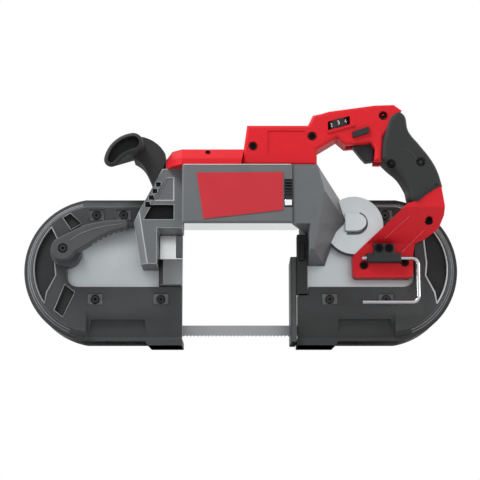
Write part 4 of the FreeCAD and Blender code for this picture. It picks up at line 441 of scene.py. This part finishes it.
def drawn_guard(x, y, z):
    """The right guard's foot drawn to the shoe and its hollows filled, the left guard's end drawn on."""
    if abs(x - end_side) < level_near and z > end_low:
        return x + (z - end_low) * end_slant, y, z
    beside = filled_left < x < filled_right and any(low < z < high for low, high in filled_heights)
    if beside and abs(y - guard_front - guard_step) < level_near:
        return x, guard_front + filled_depth, z
    return (shoe_side if 0 < x < foot_edge and z < foot_top else x), y, z


for name in ("left_guard", "right_guard"):
    guard = eased(name, guard_nylon, guard_highlight_nylon, width_mm=1.1, reshape=drawn_guard)
    guard.data.materials.append(recess_shade_nylon)
    guard.data.materials.append(pocket_light_nylon)
    face_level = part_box(name)[0][1]
    # Recessed panel floors take the dark nylon as painted shade; screw pocket floors take the pale nylon as
    # painted light.
    for face in guard.data.polygons:
        if face.normal.y < -flat_on:
            if abs(face.center.y - face_level - guard_step) < level_near:
                face.material_index = 2
            elif abs(face.center.y - face_level - screw_pocket) < level_near:
                face.material_index = 3

# Guard ribs: thin beads on the guards: two rings on each rim, a crescent, a rim round each screw pocket
# and, on the left guard, a rim round each hollow.
# Part of the same moulding, so they share its nylon, coloured pale as painted highlights but for the pockets'
# rims, the right guard's crescent palest.
# Near-white grey for the brightest painted highlights.
pale_highlight_grey = grained("pale_highlight_grey", "C4C7C9", "B2B5B7", rough=0.4, spread=0.06,
                       cloud_mm=14, grain_mm=0.6, depth_mm=0.03, gloss=0.4)
axle, axle_height, face_radius = 0.165, 0.086, 0.072
guard_rings, ring_first, ring_last, ring_points = ((0.0772, 0.0058), (0.0746, 0.0013)), -68, 78, 80
hollow_shares = (((0.53, 0.82), (0.41, 0.89), (0.226, 0.72), (0.40, 0.62)),
                 ((0.64, -0.66), (0.50, -0.77), (0.315, -0.375), (0.48, -0.25)))
crescent_shares = ((0.70, 0.66), (0.60, 0.47), (0.64, 0.08), (0.62, -0.11), (0.76, -0.38), (0.79, -0.55))
crescent_reach, crescent_first, crescent_last, crescent_points = 0.0695, -34.8, 43.3, 40
crescent_highlights = {-1: guard_highlight_nylon, 1: pale_highlight_grey}
pocket_places = {-1: ((-0.165, 0.051), (-0.0905, 0.051), (-0.165, 0.148), (-0.134, 0.148)),
                 1: ((0.165, 0.051), (0.101, 0.051), (0.165, 0.148))}
pocket_wide, pocket_tall = 0.0088, 0.0064
ring_thick, crescent_thick, rim_thick, bead_steps = 0.0007, 0.0009, 0.0006, 2


def bead(name, spots, level, thick, material, body, closed=False):
    """A thin moulded bead along points (x, z) of the front, at one level or at a level that z gives."""
    bpy.ops.object.select_all(action="DESELECT")
    line = bpy.data.curves.new(name, "CURVE")
    line.dimensions = "3D"
    run = line.splines.new("POLY")
    run.points.add(len(spots) - 1)
    for point, (x, z) in zip(run.points, spots):
        point.co = (x, level(z) if callable(level) else level, z, 1)
    run.use_cyclic_u = closed
    line.bevel_depth = thick
    line.bevel_resolution = bead_steps
    line.use_fill_caps = not closed
    piece = bpy.data.objects.new(name, line)
    bpy.context.collection.objects.link(piece)
    piece.select_set(True)
    bpy.context.view_layer.objects.active = piece
    bpy.ops.object.convert(target="MESH")
    piece = bpy.context.active_object
    coat(piece, material)
    bpy.ops.object.shade_smooth()
    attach(piece, body)


def on_face(side, shares):
    """Points on a guard's face, from their shares of its radius."""
    return [(side * (axle + face_radius * x), axle_height + face_radius * z) for x, z in shares]


def arc(side, reach, first, last, count):
    """Points on a circle round a wheel's axle, from one angle to another in degrees."""
    turns = [math.radians(first + (last - first) * step / (count - 1)) for step in range(count)]
    return [(side * (axle + reach * math.cos(a)), axle_height + reach * math.sin(a)) for a in turns]


for side, label in ((-1, "left"), (1, "right")):
    carrier = nodes[label + "_guard"]["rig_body"]
    face_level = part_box(label + "_guard")[0][1]
    for number, (reach, level) in enumerate(guard_rings, 1):
        spots = arc(side, reach, ring_first, ring_last, ring_points)
        bead("%s_guard_ring_%d" % (label, number), spots, level, ring_thick, guard_highlight_nylon, carrier)
    beads = [(on_face(side, shares), rim_thick, guard_highlight_nylon) for shares in hollow_shares if side < 0]
    outer_edge = arc(side, crescent_reach, crescent_first, crescent_last, crescent_points)
    beads.append((on_face(side, crescent_shares) + outer_edge, crescent_thick, crescent_highlights[side]))
    for x, z in pocket_places[side]:
        left, right, low, high = x - pocket_wide, x + pocket_wide, z - pocket_tall, z + pocket_tall
        beads.append((((left, low), (right, low), (right, high), (left, high)), rim_thick, guard_nylon))
    for number, (spots, thick, crown) in enumerate(beads, 1):
        bead("%s_guard_bead_%d" % (label, number), spots, face_level, thick, crown, carrier, closed=True)

# Lever rim: a thin raised line along the tension lever's upper edge, moulded with it and coloured pale as a
# painted highlight.
# It rides on the lever's own body and turns with it.
lever_rim_thick = 0.0005
lever_rim_spots = ((-0.1910, 0.1130), (-0.1800, 0.1204), (-0.1666, 0.1259), (-0.1488, 0.1300),
                   (-0.1331, 0.1318))
bead("lever_rim", lever_rim_spots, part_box("tension_lever")[0][1], lever_rim_thick, lever_highlight_nylon,
     nodes["tension_lever"]["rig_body"])

# Housing rim: a thin bead along the housing's top edge, just under the red cover.
# Moulded with the housing, and coloured pale as a painted highlight.
housing_rim_spots, housing_rim_sunk, housing_rim_thick = ((-0.0635, 0.1933), (0.0555, 0.1933)), 0.0002, 0.0006
bead("housing_rim", housing_rim_spots, front_level + housing_rim_sunk, housing_rim_thick, pale_highlight_grey,
     nodes["motor_housing"]["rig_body"])

# Boss rib: a round rib at the foot of the gear boss's nose, coloured dark as a painted shadow round the nose.
# Part of the deck casting, so it rides with it.
rib_x, rib_z, rib_reach, rib_thick, rib_start = 0.1317, 0.138, 0.0119, 0.0015, 0.121
rib_first, rib_step, rib_points = -90, 10, 17
rib_turns = [math.radians(rib_first + rib_step * step) for step in range(rib_points)]
rib_spots = [(rib_x + rib_reach * math.cos(turn), rib_z + rib_reach * math.sin(turn)) for turn in rib_turns]
bead("boss_shade_rib", [(rib_start, rib_z - rib_reach)] + rib_spots, boss_level, rib_thick, boss_shade_aluminium,
     nodes["deck_frame"]["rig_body"])

# Shoe: the black steel plate that the work is held against, with its holder and latch.
# Powder coated, so it is dark and evenly rough; its front face is a paler grey, and its and its holder's
# rounded edges are painted paler as painted highlights.
powder_coat = grained("powder_coat", "272829", "1E1F20", rough=0.5, spread=0.06,
                      cloud_mm=16, grain_mm=0.5, depth_mm=0.05, gloss=0.35)
# Paler grey for the shoe's front face, and painted highlights on its and the holder's rounded edges.
pale_front_and_highlight_coat = grained("pale_front_and_highlight_coat", "484A4B", "3C3E3F", metallic=0.2, rough=0.42, spread=0.06,
                    cloud_mm=12, grain_mm=0.6, depth_mm=0.03)
shoe = eased("shoe", powder_coat, pale_front_and_highlight_coat, width_mm=0.8)
pale_front_right = 0.064
for face in shoe.data.polygons:
    if face.normal.y < -square_on and face.center.x < pale_front_right:
        face.material_index = 1
eased("shoe_holder", powder_coat, pale_front_and_highlight_coat, width_mm=0.25)
finish(black_nylon, "shoe_latch")

# Top cover: a red nylon moulding over the motor housing, with a raised block at its right end.
# Satin skin with a fine spark texture, its edges painted paler as painted highlights.
red_nylon = grained("red_nylon", "D2252E", "C81F28", rough=0.42, spread=0.05,
                    cloud_mm=30, grain_mm=0.6, depth_mm=0.04, gloss=0.14)
# Pale red for painted highlights on the red mouldings' edges and the arm's folds.
red_highlight_nylon = grained("red_highlight_nylon", "DB4A50", "D23C43", rough=0.36, spread=0.05,
                     cloud_mm=14, grain_mm=0.6, depth_mm=0.03, gloss=0.4)
cover_turn, cover_near, cover_slant = -0.066, -0.03, 1.1
cover_foot, cover_right, block_lean, block_height = 0.1945, -0.001, 0.0035, 0.0195


def drawn_cover(x, y, z):
    """The cover's left end turned back to the support, and its right end leaned against the handle."""
    if x < cover_turn and y < cover_near:
        return x, y + (cover_turn - x) * cover_slant, z
    if x > cover_right and z > cover_foot:
        return x + block_lean * (z - cover_foot) / block_height, y, z
    return x, y, z


eased("top_cover", red_nylon, red_highlight_nylon, width_mm=1.0, reshape=drawn_cover, slice_x=cover_turn)

# Rear handle: two red halves of the same nylon, screwed together, with the head over the grip.
# Its crown is leaned down to the left.
head_low, head_right, head_drop, head_lean = 0.2525, 0.170, 0.0032, 0.04


def drawn_head(x, y, z):
    """The handle's head with its crown leaned down to the left."""
    if z < head_low:
        return x, y, z
    return x, y, z - head_drop - min(max(head_right - x, 0) * head_lean, head_drop)


# Their edges are painted paler as painted highlights.
eased("handle_front_half", red_nylon, red_highlight_nylon, width_mm=0.6, reshape=drawn_head)
eased("handle_back_half", red_nylon, red_highlight_nylon, width_mm=0.6, reshape=drawn_head)

# Lower arm: the red foot of the handle, one moulding with large rounds, that leans out above a bend.
# Two folds, coloured pale as painted highlights, cross its front.
eased("handle_lower_arm", red_nylon, width_mm=3.5, segments=4, smooth=40)
arm_bend, arm_front, arm_slope, fold_thick = 0.1138, -0.0101, 1.2176, 0.0007
arm_folds = (((0.1879, 0.1393), (0.1632, 0.1188)), ((0.2063, 0.1264), (0.1925, 0.1138), (0.1825, 0.1035)))


def arm_level(z):
    """How far forward the lower arm's front lies at a height: it leans out above its bend."""
    return arm_front - max(z - arm_bend, 0) * arm_slope


for number, spots in enumerate(arm_folds, 1):
    bead("arm_fold_%d" % number, spots, arm_level, fold_thick, red_highlight_nylon,
         nodes["handle_lower_arm"]["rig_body"])

# Trigger: black nylon, curved for one finger, with its switch behind it.
# The lock button and the battery's terminal block are moulded in the same nylon.
eased("trigger", black_nylon, width_mm=0.8)
finish(black_nylon, "trigger_switch", "battery_terminal_block", "lock_button")

# Speed dial: a ribbed black wheel in a window of the handle, with numbers printed round its rim in white.
# The numbers are pad printed, so they stand hardly proud and are matt.
finish(black_nylon, "speed_dial")
dial_print = grained("dial_print", "E8E9E9", "DCDDDD", rough=0.6, spread=0.05,
                     cloud_mm=6, grain_mm=0.5, depth_mm=0.02, gloss=0.3)
dial_middle, dial_radius, dial_slope = Vector((0.110, -0.0436, 0.243)), 0.01205, 0.27
dial_lean = math.atan(dial_slope)
dial_numbers, front_number, front_turn, number_turn = range(1, 7), 3, -2, 42
number_height, number_rise = 0.0062, 0.0002
up = Vector((-math.sin(dial_lean), 0, math.cos(dial_lean)))
across = Vector((math.cos(dial_lean), 0, math.sin(dial_lean)))
for number in dial_numbers:
    angle = math.radians(front_turn + number_turn * (number - front_number))
    outward = Vector((0, -1, 0)) * math.cos(angle) + across * math.sin(angle)
    along = up.cross(outward)
    bpy.ops.object.select_all(action="DESELECT")
    bpy.ops.object.text_add()
    figure = bpy.context.active_object
    figure.data.body = str(number)
    figure.data.size = number_height
    figure.data.extrude = number_rise
    figure.data.align_x = "CENTER"
    figure.data.align_y = "CENTER"
    bpy.ops.object.convert(target="MESH")
    figure = bpy.context.active_object
    figure.name = "dial_number_" + str(number)
    place = Matrix.Identity(4)
    for column, way in enumerate((along, up, outward, dial_middle + outward * dial_radius)):
        for row in range(3):
            place[row][column] = way[row]
    figure.matrix_world = place
    bpy.ops.object.transform_apply(location=True, rotation=True, scale=True)
    coat(figure, dial_print)
    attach(figure, nodes["speed_dial"]["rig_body"])

# Control board: a glass-epoxy board with green solder mask.
# It lies inside the handle's block, out of sight.
solder_mask = grained("solder_mask", "1E5B3A", "17472E", rough=0.35, spread=0.05,
                      cloud_mm=8, grain_mm=0.6, depth_mm=0.02)
finish(solder_mask, "control_board")

# Grip: soft thermoplastic rubber moulded round the handle's tongue, full in the middle, finely stippled.
# One closed curve through its outline, in mm, swept to its thickness with round shoulders.
# Thin raised seam on its front, in the same rubber, coloured paler.
soft_grip = grained("soft_grip", "2F3030", "272828", rough=0.62, spread=0.06,
                    cloud_mm=20, grain_mm=0.7, depth_mm=0.08, gloss=0.22)
grip_outline = ((172.0, 256.0, "AUTO"), (181.6, 255.0, "AUTO"), (188.3, 234.0, "AUTO"),
                (199.7, 219.1, "AUTO"), (210.7, 204.7, "AUTO"), (218.8, 190.2, "AUTO"),
                (224.6, 171.0, "VECTOR"), (208.5, 161.5, "AUTO"), (191.6, 153.6, "AUTO"),
                (184.2, 170.5, "AUTO"), (175.5, 184.5, "AUTO"), (165.4, 193.5, "AUTO"),
                (156.8, 202.2, "VECTOR"), (157.3, 213.8, "AUTO"), (159.5, 228.0, "AUTO"))
grip_near, grip_far, grip_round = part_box("grip_front")[0][1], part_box("grip_back")[1][1], 0.006
outline_steps, shoulder_steps, grip_smooth = 8, 4, math.radians(35)
line = bpy.data.curves.new("grip", "CURVE")
line.dimensions = "2D"
line.fill_mode = "BOTH"
line.resolution_u = outline_steps
line.extrude = (grip_far - grip_near) / 2 - grip_round
line.bevel_depth = grip_round
line.bevel_resolution = shoulder_steps
line.offset = -grip_round
run = line.splines.new("BEZIER")
run.bezier_points.add(len(grip_outline) - 1)
run.use_cyclic_u = True
for point, (x, z, corner) in zip(run.bezier_points, grip_outline):
    point.co = (x / mm_per_metre, z / mm_per_metre, 0)
    point.handle_left_type = corner
    point.handle_right_type = corner
grip = bpy.data.objects.new("grip", line)
bpy.context.collection.objects.link(grip)
bpy.ops.object.select_all(action="DESELECT")
grip.select_set(True)
bpy.context.view_layer.objects.active = grip
bpy.ops.object.convert(target="MESH")
grip = bpy.context.active_object
grip.rotation_euler = (math.pi / 2, 0, 0)
grip.location = (0, (grip_near + grip_far) / 2, 0)
bpy.ops.object.transform_apply(location=True, rotation=True, scale=True)
bpy.ops.object.shade_smooth_by_angle(angle=grip_smooth)
coat(grip, soft_grip)
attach(grip, nodes["grip_front"]["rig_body"])
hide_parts("grip_front", "grip_back")
seam_rubber = grained("seam_rubber", "454646", "3A3B3B", rough=0.6, spread=0.06,
                      cloud_mm=20, grain_mm=0.7, depth_mm=0.05, gloss=0.25)
seam_spots, seam_thick = ((0.1745, 0.2105), (0.1845, 0.2125), (0.1922, 0.207), (0.1962, 0.2005)), 0.0004
bead("grip_seam", seam_spots, grip_near, seam_thick, seam_rubber, nodes["grip_front"]["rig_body"])

# Front handle: a horn of the same rubber with a hollow mouth, whose floor is painted black as painted shade.
# Moulded on its neck, and drawn in and up toward its far end.
horn_back, horn_share, horn_lift, horn_x, horn_z = 0.010, 0.55, 0.010, -0.098, 0.232
mouth_floor, mouth_near = -0.0441, 0.002


def drawn_horn(x, y, z):
    """The far end of the handle drawn in toward its crown."""
    if y < horn_back:
        return x, y, z
    return horn_x + (x - horn_x) * horn_share, y, horn_z + (z - horn_z) * horn_share + horn_lift


horn = eased("front_handle", soft_grip, width_mm=1.0, reshape=drawn_horn)
horn.data.materials.append(black_nylon)
# The mouth's floor takes black nylon as painted shade.
for face in horn.data.polygons:
    if face.normal.y < -square_on and abs(face.center.y - mouth_floor) < mouth_near:
        face.material_index = 1

# Hanger: a wire hook that swings in a bracket on the handle's foot.
# The wire is bent and chromed, and the bracket is black nylon.
chromed_wire = grained("chromed_wire", "B4B6B9", "A2A5A8", metallic=1, rough=0.18, spread=0.04,
                       cloud_mm=20, grain_mm=0.8, depth_mm=0.01)
eased("hanger_bracket", black_nylon, width_mm=0.8)
finish(chromed_wire, "hanger_hook")

# Screws: socket heads, blacked, each sunk in a cup with a low rim, painted black as the painted shade of its
# hole.
# The cups are turned from bar: a disc, its front set in and pushed back round the head.
# One small cup alone, leaned back, stands for the screw on the cover's slope.
black_oxide = grained("black_oxide", "2A2B2C", "222324", metallic=0.3, rough=0.34, spread=0.06,
                      cloud_mm=8, grain_mm=0.5, depth_mm=0.02, gloss=0.4)
dull_oxide = grained("dull_oxide", "0E0F0F", "0A0A0A", rough=0.5, spread=0.06,
                     cloud_mm=8, grain_mm=0.5, depth_mm=0.02, gloss=0.05)
# Near-black with no sheen, a painted shade for the holes round the screws.
hole_shade_black = grained("hole_shade_black", "0A0B0B", "070707", rough=0.5, spread=0.06,
                    cloud_mm=8, grain_mm=0.5, depth_mm=0.02, gloss=0.05)
finish(black_oxide, "guard_screws", "lever_screw")
finish(dull_oxide, "handle_screws")
cup_rim, cup_deep, cup_proud, cup_sides, cup_smooth = 0.0007, 0.001, 0.0003, 32, math.radians(30)
cup_reaches = {"handle_screws": 0.0050, "guard_screws": 0.0050, "lever_screw": 0.0053}
cover_screw, cover_lean, cover_reach = (-0.0367, -0.0549, 0.2094), math.radians(45), 0.0027


def cup(name, spot, reach, lean, body):
    """A cup painted black as painted shade, whose rim stands a little proud of a spot on the front, leaned up
    by an angle.
    """
    bpy.ops.object.select_all(action="DESELECT")
    bpy.ops.mesh.primitive_cylinder_add(vertices=cup_sides, radius=reach, depth=cup_deep * 2)
    piece = bpy.context.active_object
    piece.name = name
    bpy.ops.object.mode_set(mode="EDIT")
    bpy.ops.mesh.select_all(action="DESELECT")
    bpy.ops.object.mode_set(mode="OBJECT")
    for face in piece.data.polygons:
        face.select = face.normal.z > square_on
    bpy.ops.object.mode_set(mode="EDIT")
    bpy.ops.mesh.select_mode(type="FACE")
    bpy.ops.mesh.inset(thickness=cup_rim)
    bpy.ops.mesh.extrude_region_move(TRANSFORM_OT_translate={"value": (0, 0, -cup_deep)})
    bpy.ops.object.mode_set(mode="OBJECT")
    bpy.ops.object.shade_smooth_by_angle(angle=cup_smooth)
    outward = Vector((0, -math.cos(lean), math.sin(lean)))
    piece.rotation_euler = (math.pi / 2 - lean, 0, 0)
    piece.location = Vector(spot) + outward * (cup_proud - cup_deep)
    bpy.ops.object.transform_apply(location=True, rotation=True, scale=True)
    piece.data.materials.append(hole_shade_black)
    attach(piece, body)


for name, reach in cup_reaches.items():
    opened_copy(name)
    bpy.ops.mesh.separate(type="LOOSE")
    bpy.ops.object.mode_set(mode="OBJECT")
    spots = []
    for single in bpy.context.selected_objects:
        xs, ys, zs = zip(*(corner.co for corner in single.data.vertices))
        spots.append(((min(xs) + max(xs)) / 2, min(ys), (min(zs) + max(zs)) / 2))
    bpy.ops.object.delete()
    for number, spot in enumerate(sorted(spots), 1):
        cup("%s_cup_%d" % (name, number), spot, reach, 0, nodes[name]["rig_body"])
cup("cover_screw_cup", cover_screw, cover_reach, cover_lean, nodes["top_cover"]["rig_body"])

# Floor: a pale matt floor that is clear from below.
# The photograph looks up at the saw, so the floor shows only from above.
floor_side, floor_level = 8, -0.0005
bpy.ops.object.select_all(action="DESELECT")
bpy.ops.mesh.primitive_plane_add(size=floor_side, location=(0, 0, floor_level))
floor = bpy.context.active_object
floor.name = "floor"
pale_floor, tree = new_material("pale_floor")
facing = add(tree, "ShaderNodeNewGeometry")
straight = add(tree, "ShaderNodeLightPath")
tone = add(tree, "ShaderNodeMix", {"data_type": "RGBA"}, {"A": linear("E0E0E0"), "B": linear("F4F4F4")},
           {"Factor": straight.outputs["Is Camera Ray"]})
matt = add(tree, "ShaderNodeBsdfDiffuse", links={"Color": tone.outputs["Result"]})
clear = add(tree, "ShaderNodeBsdfTransparent")
side = add(tree, "ShaderNodeMixShader", links={"Fac": facing.outputs["Backfacing"], 1: matt.outputs["BSDF"],
                                               2: clear.outputs["BSDF"]})
add(tree, "ShaderNodeOutputMaterial", links={"Surface": side.outputs["Shader"]})
floor.data.materials.append(pale_floor)

# Surround: white to the camera, in reflections and through clear faces, and dimmer as a light.
# The soft boxes stand round the saw: place, aim, width in metres and power in watts of each.
room_strength, white_strength = 0.23, 1.0
scene = bpy.context.scene
world = bpy.data.worlds.new("white_room")
scene.world = world
world.use_nodes = True
tree = world.node_tree
tree.nodes.clear()
ray = add(tree, "ShaderNodeLightPath")
through = add(tree, "ShaderNodeMath", {"operation": "MAXIMUM"},
              links={0: ray.outputs["Is Camera Ray"], 1: ray.outputs["Is Transmission Ray"]})
seen = add(tree, "ShaderNodeMath", {"operation": "MAXIMUM"},
           links={0: through.outputs["Value"], 1: ray.outputs["Is Glossy Ray"]})
room = add(tree, "ShaderNodeBackground", values={"Color": linear("FFFFFF"), "Strength": room_strength})
white = add(tree, "ShaderNodeBackground", values={"Color": linear("FFFFFF"), "Strength": white_strength})
both = add(tree, "ShaderNodeMixShader", links={"Fac": seen.outputs["Value"], 1: room.outputs["Background"],
                                               2: white.outputs["Background"]})
add(tree, "ShaderNodeOutputWorld", links={"Surface": both.outputs["Shader"]})
soft_boxes = (("key", (-0.75, -0.85, 1.5), (0, 0, 0.12), 0.7, 30),
              ("left", (-1.5, -0.25, 0.25), (0, 0, 0.1), 0.5, 7),
              ("right", (1.5, -0.25, 0.25), (0, 0, 0.1), 0.5, 7),
              ("fill", (0.9, -1.5, 0.2), (0, 0, 0.12), 1.2, 4),
              ("rim", (0.8, 0.9, 1.2), (0, 0, 0.15), 0.8, 12))
for name, spot, aim, width, power in soft_boxes:
    bpy.ops.object.light_add(type="AREA", location=spot)
    lamp = bpy.context.active_object
    lamp.name = name
    lamp.data.size = width
    lamp.data.energy = power
    lamp.rotation_euler = (Vector(aim) - Vector(spot)).to_track_quat("-Z", "Y").to_euler()

# Camera: ten degrees below the level of the saw's middle, as in the photograph.
# A long lens from well back, so that the perspective is slight.
distance, drop, sensor_mm, lens_mm = 1.7, math.radians(10), 36, 110.9
aim = Vector((-0.0008, 0.0119, 0.1215))
spot = aim + Vector((0, -math.cos(drop), -math.sin(drop))) * distance
bpy.ops.object.camera_add(location=spot)
camera = bpy.context.active_object
camera.rotation_euler = (aim - spot).to_track_quat("-Z", "Y").to_euler()
camera.data.sensor_width = sensor_mm
camera.data.lens = lens_mm
scene.camera = camera
scene.view_settings.view_transform = "Standard"
